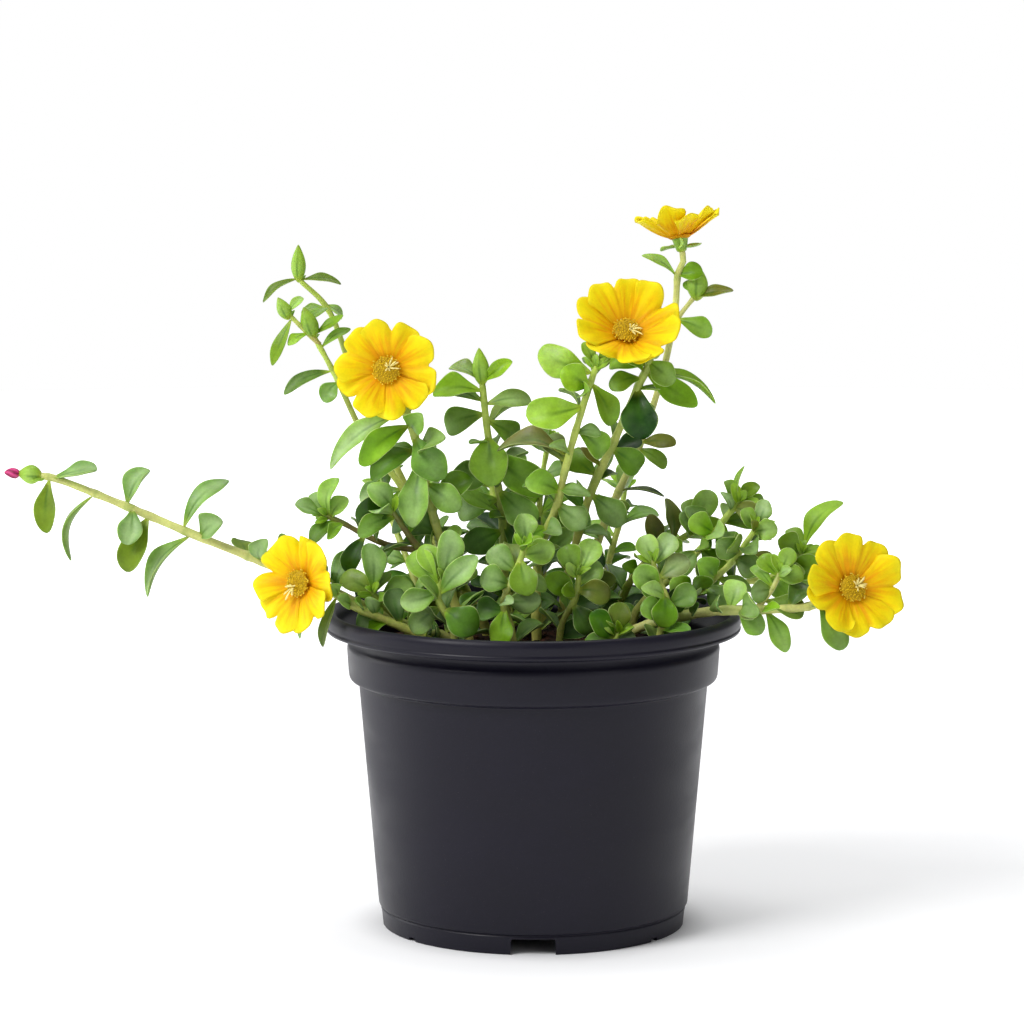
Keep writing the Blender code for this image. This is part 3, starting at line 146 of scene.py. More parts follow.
STEMS = [
    Stem("left_trailing_stem", (-27, -6),
         [(-32, -7, 92), (-46, -8, 98), (-59, -9, 104.5), (-84, -10, 115.5), (-104, -10, 123.5),
          (-124, -10, 132), (-145, -10, 140.5), (-153, -10, 142.5)],
         (3.6, 2.4), [],
         [(-149, 141, -134, 145, -2, 8, 62), (-150, 139, -150, 124, -3, 7.5, 10),
          (-137, 132, -145, 115, 3, 7, 78), (-126, 132, -118, 144, 3, 8.5, 50),
          (-125, 130, -125, 121, -7, 8, 5), (-120, 127, -126, 112, -3, 9, 5),
          (-108, 126, -95, 142, 4, 8, 50), (-103, 123, -96, 129, -6, 9, 25),
          (-106, 122, -121, 105, -3, 8, 62), (-62, 106, -55, 119, 4, 8, 20)],
         [((-153, -10, 142.5), (-159.6, -10, 143), 5.6)],
         Fill(0.02, 0.22, 4, 12, 7.5, 11)),
    Stem("low_left_bloom_stem", (-31, -22),
         [(-36, -23.5, 95), (-46, -24.5, 99.8), (-52, -24.5, 102.2), (-58, -23, 105.5)],
         (3.0, 2.4), [],
         [(-60, 107, -66, 91, -3, 4.4, 45), (-63, 109, -73, 92, 3, 4.4, 50),
          (-40, 98, -43, 109, 5, 7.5, 15)],
         [], Fill(0.1, 0.5, 2, 11, 8, 12)),
    Stem("upper_left_stem", (-20, 22),
         [(-26, 23, 104), (-42, 24, 138), (-55, 23, 165), (-64, 22, 190), (-74, 22, 201)],
         (3.2, 1.8), [],
         [(-73, 201, -60, 200, -2, 3.6, 50), (-74, 202, -86, 194, -2, 3.4, 50),
          (-66, 193, -60, 188, 3, 3.8, 45), (-66, 192, -74, 190, 3, 3.4, 45)],
         [((-74, 22, 201), (-74, 22, 212), 4.4)],
         Fill(0.05, 0.42, 5, 14, 8, 13)),
    Stem("left_bud_stem", (-15, 12),
         [(-24, 12, 108), (-40, 13, 134), (-53, 13, 152), (-62, 13, 171), (-69, 13, 184)],
         (3.2, 1.8), [Branch([(-67, 13, 181), (-73, 12, 187), (-77, 12, 191)], (1.8, 1.4))],
         [(-76, 189, -82, 174, -2, 4.8, 35), (-70, 185, -77, 181, -4, 3.8, 30),
          (-69, 185, -59, 190, 2, 3.8, 45), (-77, 191, -72, 196, 3, 3.4, 30),
          (-66, 180, -57, 186, 4, 3.6, 60), (-62, 173, -79, 166, -3, 5.2, 48),
          (-61, 169, -66, 163, -4, 6.5, 15), (-73, 187, -64, 193, 3, 3.4, 45)],
         [((-69, 13, 184), (-72, 12, 193), 5.2), ((-77, 12, 190), (-80, 12, 196), 4.2)],
         Fill(0.08, 0.5, 5, 14, 8.5, 14)),
    Stem("left_bloom_stem", (-20, -8),
         [(-25, -8, 104), (-29, -8, 122), (-33, -9, 138), (-37, -10, 156), (-41, -10, 166)],
         (3.4, 2.6),
         [Branch([(-30, -8, 118), (-46, -9, 121), (-60, -9, 128), (-65, -9, 130)], (2.4, 1.6)),
          Branch([(-27, -8, 112), (-36, -13, 121), (-44, -16, 133)], (2.4, 1.8))],
         [(-40, 162, -65, 145, 2, 8, 48), (-38, 158, -54, 146, -5, 8.5, 10),
          (-36, 155, -27, 142, -6, 11, 5), (-35, 148, -37, 127, -9, 10, 0),
          (-36, 150, -50, 141, -6, 8.5, 15), (-43, 132, -55, 131, -4, 10, 5),
          (-44, 132, -51, 141, -2, 8, 25), (-42, 130, -54, 125, -6, 7, 25),
          (-65, 129, -74, 134, -2, 6, 40), (-64, 129, -69, 137, 2, 5.5, 20),
          (-63, 128, -57, 136, -2, 6, 20), (-61, 127, -69, 121, -3, 6, 35),
          (-54, 124, -48, 132, 3, 7, 30), (-33, 140, -22, 132, -5, 9, 20),
          (-31, 132, -19, 142, 3, 9, 25), (-52, 123, -58, 112, -3, 7, 25)],
         [], Fill(0.1, 0.85, 4, 14, 9, 15)),
    Stem("middle_stem", (-8, 8),
         [(-9, 8, 106), (-10, 8, 130), (-14, 5, 152), (-16, 4, 170)],
         (3.2, 2.2), [],
         [(-16, 170, -6, 177, -2, 5.5, 25), (-14, 163, 0, 165, 2, 7, 35),
          (-15, 153, -13, 137, -9, 13, 0), (-12, 149, 4, 135, -5, 12, 10),
          (-16, 167, -32, 166, -2, 8.5, 30), (-16, 170, -27, 174, 3, 6, 40),
          (-15, 160, -28, 155, 4, 9, 20), (-12, 142, -26, 140, -5, 10, 15),
          (-11, 136, 2, 126, -7, 10, 10), (-15, 158, -4, 152, 5, 8, 20),
          (-11, 133, -25, 128, 4, 11, 10), (-10, 126, 1, 116, 3, 10, 10),
          (-10, 123, -22, 117, -5, 10, 15)],
         [((-16, 4, 170), (-17, 4, 181), 5)],
         Fill(0.08, 0.6, 5, 14, 9, 16)),
    Stem("centre_tall_stem", (1, -2),
         [(1, -3, 104), (2, -5, 119), (7, -8, 132), (10, -9, 145), (15, -9, 163), (19.5, -9, 177)],
         (3.4, 2.0), [],
         [(18, 174, 1, 181, 3, 10.5, 15), (17, 170, 8, 175, -4, 9.5, 10),
          (15, 164, -3, 161, -3, 11, 12), (18, 171, 25, 158, -3, 7.5, 25),
          (10, 148, -12, 151, 2, 8.5, 62), (20, 176, 15, 184, 0, 4.5, 30),
          (20, 176, 25, 183, -2, 4.5, 30), (13, 157, 23, 148, 5, 9, 20),
          (8, 137, -3, 141, -5, 9, 15), (7, 133, 16, 126, -5, 9, 15),
          (4, 126, -6, 119, -5, 9.5, 10), (10, 146, 4, 155, 6, 8, 25)],
         [], Fill(0.05, 0.45, 3, 13, 9, 17)),
    Stem("right_bloom_stem", (9, 10),
         [(10, 9, 104), (17, 3, 133), (25, -1, 152), (33, -4, 171), (36, -5, 178)],
         (3.2, 2.4), [],
         [(33, 169, 34, 153, -5, 12, 0), (35, 174, 51, 163, -4, 8.5, 22),
          (35, 173, 58, 165, 3, 7.5, 68), (33, 172, 23, 169, -4, 7, 25),
          (35, 176, 23, 175, 3, 7.5, 35), (36, 177, 44, 171, -6, 8, 20),
          (24, 150, 34, 143, 3, 9, 20), (20, 141, 11, 148, 4, 8.5, 25),
          (18, 135, 29, 126, -4, 9, 15)],
         [], Fill(0.08, 0.5, 4, 14, 9, 18)),
    Stem("top_bloom_stem", (15, 24),
         [(16, 24, 102), (22, 22, 122), (33, 18, 148), (40, 14, 170), (44, 12, 190), (45, 12, 203)],
         (3.2, 2.2), [Branch([(44, 12, 188), (47, 12, 192), (51, 12, 197)], (1.8, 1.6))],
         [(33, 150, 45.5, 150, -2, 6.4, 40), (32, 148, 42, 142, -4, 5.8, 30),
          (27, 134, 42, 133, -3, 3.8, 66), (50, 196, 63, 198, -2, 4.6, 40),
          (45, 189, 56, 184, -3, 7, 20), (51, 196, 47, 201, 2, 4, 30),
          (45, 202, 33, 209, 0, 3.8, 40), (45, 203, 53, 204, -3, 6.5, 20)],
         [((51, 12, 196), (51.5, 12, 206), 6.2)],
         Fill(0.08, 0.3, 4, 14, 9, 19)),
    Stem("right_back_stem", (27, 32),
         [(30, 30, 102), (38, 24, 113), (46, 22, 118), (54, 20, 123)],
         (3.0, 2.0), [],
         [(53, 122, 56, 135, 0, 8.5, 5), (44, 117, 43, 132, 0, 8, 40),
          (40, 115, 37, 127, -2, 6.5, 25), (50, 120, 62, 121, -4, 8, 20),
          (53, 122, 48, 131, 3, 7, 20)],
         [], Fill(0.1, 0.95, 5, 12, 8, 20)),
    Stem("right_upper_stem", (31, 12),
         [(34, 12, 99), (46, 10, 110), (55, 9, 120), (61, 8, 128), (65, 8, 133)],
         (3.0, 1.8), [],
         [(65, 132, 65, 144, -1, 3.4, 55), (64, 131, 60, 139, 2, 5, 25),
          (65, 131, 71, 138, 2, 5, 25), (63, 130, 70, 129, -4, 7, 15),
          (57, 122, 48, 127, -3, 8, 15), (57, 122, 64, 117, -4, 8, 15),
          (52, 116, 45, 109, -4, 8.5, 15), (53, 117, 60, 111, -5, 8, 15)],
         [], Fill(0.12, 0.9, 4, 11, 8, 21)),
    Stem("right_middle_stem", (37, -2),
         [(41, -3, 98), (52, -4, 106), (61, -5, 114), (66, -6, 121), (70, -6, 127)],
         (2.8, 1.7), [],
         [(70, 126, 72, 135, 0, 6, 20), (69, 125, 64, 132, -2, 6, 20),
          (69, 124, 76, 126, -3, 7, 15), (64, 118, 56, 122, -4, 8.5, 10),
          (63, 116, 71, 113, -4, 8.5, 10), (57, 110, 51, 116, -4, 8.5, 10),
          (54, 107, 62, 102, -4, 9, 10), (49, 104, 42, 110, -4, 8, 10)],
         [], Fill(0.12, 0.9, 3, 11, 8, 22)),
    Stem("right_outer_stem", (40, 14),
         [(45, 14, 100), (58, 12, 104), (70, 10, 107), (79, 8, 110), (85, 7, 117)],
         (2.8, 1.6), [],
         [(85, 117, 97, 133, 0, 8, 60), (84, 115, 76, 121, -3, 8.5, 20),
          (80, 111, 90, 113, -4, 8.5, 20), (82, 113, 88, 104, -4, 8, 20),
          (73, 108, 70, 117, -2, 8, 15), (74, 108, 81, 101, -5, 8, 15),
          (85, 116, 80, 124, 3, 6, 30)],
         [], Fill(0.2, 0.95, 3, 11, 7.5, 23)),
    Stem("right_trailing_stem", (23, -15),
         [(28, -17, 94), (37, -20, 98), (48, -23, 101), (58, -25, 102.6), (70, -26, 103),
          (84, -26, 104)],
         (3.6, 2.6), [Branch([(68, -26, 103), (73, -24, 109), (76, -22, 115)], (2.0, 1.4))],
         [(71, 102, 78, 90, -3, 7, 15), (88, 104, 95, 90, -2, 8.5, 10),
          (76, 114, 79, 122, 0, 6, 20), (75, 113, 69, 119, 2, 6, 20),
          (75, 112, 83, 114, -2, 6.5, 20), (73, 109, 66, 108, -3, 7.5, 10),
          (63, 103, 70, 96, -5, 7.5, 15), (60, 103, 63, 112, 3, 8, 15),
          (45, 100, 40, 91, -3, 8, 10), (43, 100, 45, 110, -3, 8, 10),
          (78, 104, 84, 111, 3, 7, 20), (52, 102, 58, 93, 9, 7, 20)],
         [], Fill(0.15, 0.7, 3, 11, 7.5, 24)),
    Stem("front_left_stem", (-24, -29),
         [(-25, -30, 99), (-29, -31, 107), (-28, -31, 114)],
         (2.8, 2.0), [],
         [(-29, 112, -25, 129, -1, 9, 0), (-28, 109, -41, 106, -3, 8, 15),
          (-28, 108, -17, 121, -2, 8, 20), (-28, 110, -38, 121, 3, 9, 10),
          (-27, 105, -38, 96, 3, 8, 15), (-27, 104, -17, 97, -4, 11, 15),
          (-28, 113, -34, 124, 4, 8, 15)],
         [], Fill(0.1, 0.6, 2, 11, 8, 25)),
    Stem("front_rim_stem", (-38, -14),
         [(-41, -15, 97), (-47, -17, 103.5), (-50, -18, 108)],
         (2.4, 1.8), [],
         [(-50, 107, -51, 123, 1, 8, 10), (-46, 103, -54, 96, -14, 8.5, 10),
          (-47, 104, -37, 110, -2, 8, 15), (-49, 106, -60, 112, 3, 8, 20)],
         [], Fill(0.1, 0.4, 1, 10, 7, 26)),
    Stem("front_middle_stem", (-6, -26),
         [(-7, -27, 98), (-9, -29, 106), (-5, -29, 116), (-2, -28, 124)],
         (2.8, 1.9), [],
         [(-9, 104, -10, 92, -4, 8, 10), (-8, 106, 3, 107, -3, 8, 10),
          (-4, 119, -1, 108, -6, 9.5, 0), (-2, 123, -4, 133, 2, 8, 15),
          (-7, 111, -17, 113, -2, 9, 10), (-3, 120, 7, 123, -2, 8.5, 15),
          (-5, 115, -14, 122, 2, 8.5, 20), (-8, 103, -18, 104, 2, 8, 20)],
         [], Fill(0.1, 0.5, 2, 11, 8, 27)),
    Stem("centre_low_stem", (8, -18),
         [(9, -19, 98), (13, -21, 106), (14, -21, 114)],
         (2.6, 1.8), [],
         [(12, 105, 3, 113, -2, 8, 25), (13, 110, 21, 117, 0, 8.5, 10),
          (14, 113, 9, 122, 2, 8, 15), (12, 104, 18, 95, -3, 8, 15),
          (13, 108, 24, 107, -3, 8, 20), (14, 113, 19, 124, 4, 8, 20)],
         [], Fill(0.1, 0.5, 2, 11, 8, 28)),
    Stem("centre_right_stem", (24, -27),
         [(25, -28, 94), (26, -28, 97)],
         (2.4, 1.8), [],
         [(26, 95, 27, 106, -1, 7.5, 5), (25, 94, 17, 103, -1, 8, 10),
          (25, 93, 15, 91, 2, 7, 25)],
         [], Fill(0.2, 0.6, 1, 9, 6, 29)),
    Stem("front_right_stem", (38, -27),
         [(39, -28, 97), (41, -28, 105), (38, -27, 113), (36, -26, 119)],
         (2.6, 1.8), [],
         [(37, 117, 33, 126, 2, 7.5, 15), (39, 111, 30, 116, -3, 8.5, 10),
          (40, 108, 40, 98, -5, 8.5, 5), (41, 105, 50, 110, -1, 8, 10),
          (39, 113, 48, 119, 1, 8, 10), (37, 117, 43, 126, 3, 7.5, 15),
          (40, 101, 32, 105, -2, 8, 15)],
         [], Fill(0.1, 0.5, 2, 11, 8, 30)),
    Stem("back_left_stem", (-34, 18),
         [(-37, 22, 103), (-44, 32, 120), (-50, 40, 134)],
         (2.8, 1.8), [], [], [], Fill(0.1, 1.0, 8, 13, 8.5, 31)),
    Stem("back_stem", (-6, 34),
         [(-8, 38, 106), (-12, 47, 124), (-15, 53, 140)],
         (2.8, 1.8), [], [], [], Fill(0.1, 1.0, 8, 13, 8.5, 32)),
    Stem("back_centre_stem", (3, 22),
         [(3, 25, 108), (2, 30, 130), (5, 34, 150)],
         (2.8, 1.8), [],
         [(2, 134, -10, 130, -4, 11, 10), (3, 126, 14, 121, -4, 10, 10)],
         [], Fill(0.1, 1.0, 8, 13, 8.5, 33)),
    Stem("back_right_stem", (22, 40),
         [(24, 46, 106), (28, 53, 120), (30, 58, 132)],
         (2.8, 1.8), [], [], [], Fill(0.1, 1.0, 8, 13, 8.5, 34)),
]

BLOOMS = [
    Bloom("left_bloom", "left_bloom_stem", (-44.8, -15, 175.5), (-0.1, -0.98, 0.12), 16.6, 4.0, 8),
    Bloom("right_bloom", "right_bloom_stem", (28.4, -8, 185.8), (0.08, -0.77, 0.63), 17.6, 9.0, 30),
    Bloom("top_bloom", "top_bloom_stem", (45.6, 12, 214.5), (-0.14, 0.14, 0.97), 14.2, 7.6, 12),
    Bloom("low_left_bloom", "low_left_bloom_stem", (-70.5, -25, 111), (-0.6, -0.78, 0.12), 16, 4.5, 20),
    Bloom("far_right_bloom", "right_trailing_stem", (96.5, -27, 109.5), (0.33, -0.88, 0.3), 17, 5.5, 0),
]

BUD_TIP_NAME = "magenta_bud_tip"
BUD_TIP_STEM = "left_trailing_stem"
BUD_TIP_WIDTH = 3.6
BUD_TIP_LENGTH = 4.0


def polar(radius, angle, height):
    """The point at a radius, at an angle round the Z axis and at a height."""
    return Vector((radius * math.cos(angle), radius * math.sin(angle), height))


def square_to(way, along):
    """The unit vector nearest to one direction that is square to another."""
    return (way - along * way.dot(along)).normalized()


def ring_way(side, up, angle):
    """The unit vector at an angle round the ring that two square directions span."""
    return side * math.cos(angle) + up * math.sin(angle)


def bud_frame(along):
    """Two directions square to a bud's axis and to each other."""
    side = along.cross(BUD_ACROSS).normalized()
    return side, side.cross(along)


def path_frames(path):
    """The side, up and along directions at each point of a path, carried on without twist."""
    across = STEM_ACROSS
    frames = []
    for i in range(len(path)):
        along = (path[min(i + 1, len(path) - 1)] - path[max(i - 1, 0)]).normalized()
        across = square_to(across, along)
        frames.append((across, along.cross(across), along))
    return frames


def sphere_points(bm, sides, rings):
    """Adds a sphere and gives each vertex, its angle and its way from pole to pole, 0 to 1."""
    made = bmesh.ops.create_uvsphere(bm, u_segments=sides, v_segments=rings, radius=1.0)
    for vert in made["verts"]:
        t = math.acos(max(-1.0, min(1.0, -vert.co.z))) / math.pi
        yield vert, math.atan2(vert.co.y, vert.co.x), t


def bent_sphere(bm, sides, rings, place):
    """Adds a sphere and moves each vertex to place(angle, t)."""
    for vert, angle, t in sphere_points(bm, sides, rings):
        vert.co = place(angle, t)


def smooth_path(points, step):
    """Points about a step apart on a smooth curve through the given ones."""
    points = [Vector(p) for p in points]
    padded = [2 * points[0] - points[1]] + points + [2 * points[-1] - points[-2]]
    path = []
    for a, b, c, d in zip(padded, padded[1:], padded[2:], padded[3:]):
        count = max(1, round((c - b).length / step))
        for i in range(count):
            t = i / count
            path.append(0.5 * (2 * b + (c - a) * t + (2 * a - 5 * b + 4 * c - d) * t * t
                               + (3 * b - a - 3 * c + d) * t ** 3))
    path.append(points[-1])
    return path


def path_point(path, fraction):
    """The place at a fraction of a path's points, and its direction there."""
    where = max(0.0, min(1.0, fraction)) * (len(path) - 1)
    i = min(int(where), len(path) - 2)
    return path[i].lerp(path[i + 1], where - i), (path[i + 1] - path[i]).normalized()


def add_tube(bm, path, thick, sides):
    """A round stem with flat ends along a path, thinner towards its tip."""
    rings = len(path) + 1
    frames = path_frames(path)

    def place(angle, t):
        ring = round(t * rings) - 1
        on_axis = ring < 0 or ring >= len(path)
        ring = max(0, min(len(path) - 1, ring))
        radius = 0.0 if on_axis else 0.5 * (thick[0] + (thick[1] - thick[0]) * ring / (len(path) - 1))
        side, up, _ = frames[ring]
        return path[ring] + radius * ring_way(side, up, angle)

    bent_sphere(bm, sides, rings, place)


class Leaf:
    """A fleshy spoon-shaped blade between a root and a tip."""

    looseness = 0.45

    def __init__(self, root, tip, width, turn, arch=0.1):
        self.root = Vector(root)
        self.tip = Vector(tip)
        self.width = width
        self.turn = turn
        self.arch = arch

    def frame(self):
        along = (self.tip - self.root).normalized()
        viewer = Vector((0, -1, 0))
        if abs(along.dot(viewer)) > 0.9:
            viewer = Vector((0, 0, 1))
        face = square_to(viewer, along)
        turned = Matrix.Rotation(math.radians(self.turn), 3, along) @ face
        other = Matrix.Rotation(math.radians(-self.turn), 3, along) @ face
        face = turned if turned.z >= other.z else other
        return along, face, face.cross(along)

    def add(self, bm, sides=LEAF_SIDES, rings=LEAF_RINGS, grow=0.0, start=0.0):
        along, face, side = self.frame()
        length = (self.tip - self.root).length

        def place(angle, t):
            if sides == 3:
                angle *= 1.5 if angle > 0 else 0.75
            t = start + (1 - start) * (1 - (1 - t) ** 1.4)
            blade = math.sin(math.pi * t ** 1.35) ** 0.75 if 0 < t < 1 else 0.0
            half_width = 0.5 * (self.width + grow) * blade
            half_thick = 0.5 * (LEAF_THICKNESS + grow) * min(1.0, 0.35 + blade) * (0 < t < 1)
            bow = self.arch * length * math.sin(math.pi * t)
            middle = self.root + along * (length * t - SUNK) + face * bow
            return middle + side * (half_width * math.cos(angle)) + face * (half_thick * math.sin(angle))

        bent_sphere(bm, sides, rings, place)


def add_bud(bm, root, tip, width, sides=6, rings=5, sunk=BUD_SUNK):
    """A pointed egg, its root sunk into what it grows from."""
    tip = Vector(tip)
    along = (tip - Vector(root)).normalized()
    root = Vector(root) - along * sunk
    side, up = bud_frame(along)

    def place(angle, t):
        radius = 0.5 * width * math.sin(math.pi * t ** 0.85) ** 0.8 if 0 < t < 1 else 0.0
        return root.lerp(tip, t) + radius * ring_way(side, up, angle)

    bent_sphere(bm, sides, rings, place)


def facing_matrix(bloom):
    """Turns a bloom's own frame, with +Z out of its face, to its place on the plant."""
    facing = Vector(bloom.facing).normalized()
    turn = facing.to_track_quat("Z", "Y").to_matrix().to_4x4()
    return Matrix.Translation(Vector(bloom.base)) @ turn @ Matrix.Rotation(math.radians(bloom.spin), 4, "Z")


def petal_height(radius, bloom):
    """Height of the cup above the heart at a distance from the axis."""
    out = max(0.0, (radius - 0.8 * HEART_RADIUS) / (bloom.radius - 0.8 * HEART_RADIUS))
    return 0.5 * HEART_THICKNESS + bloom.cup * out ** 1.3


def add_petal(bm, bloom, index):
    """A broad heart-shaped petal with a waved edge, overlapping the next one."""
    made = bmesh.ops.create_grid(bm, x_segments=PETAL_ACROSS, y_segments=PETAL_ALONG, size=1.0)
    draw = random.Random(bloom.spin * 100 + index)
    phase = draw.uniform(0, 6)
    reach = bloom.radius * draw.uniform(0.94, 1.03)
    turn = 2 * math.pi * index / PETALS
    for vert in made["verts"]:
        u = vert.co.x
        v = 0.5 + 0.5 * vert.co.y
        notch = 0.16 * math.exp(-(u / 0.28) ** 2) + 0.30 * abs(u) ** 4
        radius = 1.5 + (reach - 1.5) * v * (1 - notch * v)
        spread = math.radians(30 + 17 * v)
        wave = 0.07 * bloom.radius * v * v * math.sin(4.5 * u + phase)
        height = petal_height(radius, bloom) + 1.25 * u * v + wave
        angle = turn + spread * u
        vert.co = polar(radius, angle, height)
    faces = list({face for vert in made["verts"] for face in vert.link_faces})
    cut = bmesh.ops.triangulate(bm, faces=faces)
    bmesh.ops.recalc_face_normals(bm, faces=cut["faces"])
    bmesh.ops.solidify(bm, geom=cut["faces"], thickness=PETAL_THICKNESS)


def add_heart(bm):
    """The disc that the petals grow from."""
    bmesh.ops.create_cone(bm, cap_ends=True, segments=8, radius1=HEART_RADIUS * 0.8,
                          radius2=HEART_RADIUS, depth=HEART_THICKNESS,
                          matrix=Matrix.Translation((0, 0, 0.5 * HEART_THICKNESS)))


def bract_leaves(bloom):
    """Small leaves spread behind the petals."""
    matrix = facing_matrix(bloom)
    leaves = []
    for i in range(BRACTS):
        angle = i * 2 * math.pi / BRACTS + 0.6
        root = matrix @ Vector((0, 0, -0.6 * CALYX_LENGTH))
        reach = 8.0 + 1.5 * math.sin(3.1 * i)
        tip = matrix @ polar(reach, angle, -2.4)
        leaves.append(Leaf(root, tip, 3.6, 90 if abs(bloom.facing[2]) > 0.6 else 0, 0.0))
    return leaves


def blooms_of(stem):
    return [bloom for bloom in BLOOMS if bloom.stem == stem.name]


def stem_lines(stem, step=STEM_STEP):
    """The paths of a stem and of its side branches, each with its thickness at both ends."""
    foot_x, foot_y = stem.foot
    points = [(foot_x, foot_y, SOIL_TOP - HOLE_DEPTH + 2), (foot_x, foot_y, SOIL_TOP + 3)]
    points += stem.route
    for bloom in blooms_of(stem):
        for depth in (CALYX_LENGTH + 3, 0.5 * CALYX_LENGTH):
            points.append(facing_matrix(bloom) @ Vector((0, 0, -depth)))
    lines = [(smooth_path(points, step), stem.thick)]
    for branch in stem.branches:
        lines.append((smooth_path(branch.route, step * 0.7), branch.thick))
    return lines


def nearest_on(lines, x, z):
    """The place on a stem's lines nearest to a point of the front view."""
    best = None
    for path, _ in lines:
        for a, b in zip(path, path[1:]):
            run = b - a
            flat = run.x ** 2 + run.z ** 2
            t = ((x - a.x) * run.x + (z - a.z) * run.z) / flat if flat > 0 else 0.0
            spot = a.lerp(b, max(0.0, min(1.0, t)))
            far = (spot.x - x) ** 2 + (spot.z - z) ** 2
            if spot.z > SOIL_TOP + 2 and (best is None or far < best[0]):
                best = (far, spot)
    return best[1]


def tree_of(build):
    """A search tree of what build adds to an empty mesh, with its box."""
    bm = bmesh.new()
    build(bm)
    bmesh.ops.triangulate(bm, faces=bm.faces)
    tree = BVHTree.FromBMesh(bm)
    low = Vector([min(v.co[i] for v in bm.verts) for i in range(3)])
    high = Vector([max(v.co[i] for v in bm.verts) for i in range(3)])
    bm.free()
    return tree, low, high


def apart(one, other):
    if any(one[2][i] < other[1][i] or other[2][i] < one[1][i] for i in range(3)):
        return True
    return not one[0].overlap(other[0])


class Layout:
    """Keeps every placed thing and finds room for each new leaf."""

    def __init__(self):
        self.fixed = []
        self.blades = []
        self.leaves = {stem.name: [] for stem in STEMS}

    def add_fixed(self, node, build):
        self.fixed.append((node, tree_of(build)))

    def has_room(self, node, leaf):
        whole = tree_of(lambda bm: leaf.add(bm, grow=LEAF_CLEARANCE))
        for owner, thing in self.fixed:
            if owner != node and not apart(whole, thing):
                return False
        outer = tree_of(lambda bm: leaf.add(bm, grow=0.3, start=0.3))
        for owner, full, cut in self.blades:
            if owner != node and not apart(whole, full):
                return False
            if owner == node and not apart(outer, cut):
                return False
        return True

    def put(self, node, leaf):
        full = tree_of(lambda bm: leaf.add(bm))
        cut = tree_of(lambda bm: leaf.add(bm, start=0.3))
        self.blades.append((node, full, cut))
        self.leaves[node].append(leaf)


def lay_given_leaves(layout, stem, lines):
    """Puts each listed leaf, leaning it to the front or back where its place is taken."""
    for x0, z0, x1, z1, behind, width, turn in stem.leaves:
        root = nearest_on(lines, x0, z0)
        for lean in GIVEN_LEANS:
            tip = Vector((x1, root.y + behind + lean, z1))
            leaf = Leaf(root, tip, width, turn)
            if layout.has_room(stem.name, leaf):
                layout.put(stem.name, leaf)
                break


def lay_filling_leaves(layout, stem, lines):
    """Adds leaves at even steps round the stem, each turned on until it finds room."""
    fill = stem.fill
    draw = random.Random(fill.seed)
    path = lines[0][0]
    for i in range(fill.count):
        fraction = fill.start + (fill.end - fill.start) * (i + 0.5) / fill.count
        root, along = path_point(path, fraction)
        root.z = max(root.z, LOWEST_LEAF)
        round_angle = i * GOLDEN_ANGLE + draw.uniform(0, 0.6)
        length = fill.length * draw.uniform(0.8, 1.2)
        width = fill.width * draw.uniform(0.85, 1.1)
        rise = draw.uniform(0.15, 0.7)
        for attempt in range(FILL_TRIES):
            angle = round_angle + attempt * FILL_TURN
            shrink = 1 - FILL_SHRINK * attempt
            out = square_to(polar(1, angle, 0), along)
            way = (out + along * rise + Vector((0, 0, 0.15))).normalized()
            leaf = Leaf(root, root + way * length * shrink, width * shrink, FILL_LEAF_TURN)
            if leaf.tip.z > LOWEST_LEAF and layout.has_room(stem.name, leaf):
                layout.put(stem.name, leaf)
                break


def lay_out_plant():
    layout = Layout()
    lines = {stem.name: stem_lines(stem) for stem in STEMS}
    layout.add_fixed("pot", add_pot_shape)
    layout.add_fixed("soil", add_soil_shape)
    for stem in STEMS:
        for path, thick in lines[stem.name]:
            fat = (thick[0] + LEAF_CLEARANCE, thick[1] + LEAF_CLEARANCE)
            layout.add_fixed(stem.name, lambda bm, p=path, f=fat: add_tube(bm, p, f, STEM_SIDES))
        for bud in stem.buds:
            layout.add_fixed(stem.name, lambda bm, b=bud: add_bud(bm, *b))
    for bloom in BLOOMS:
        layout.add_fixed(bloom.name, lambda bm, b=bloom: add_bloom_shape(bm, b))
    for stem in STEMS:
        for bloom in blooms_of(stem):
            for leaf in bract_leaves(bloom):
                layout.put(stem.name, leaf)
        lay_given_leaves(layout, stem, lines[stem.name])
    for stem in STEMS:
        lay_filling_leaves(layout, stem, lines[stem.name])
    return layout, lines


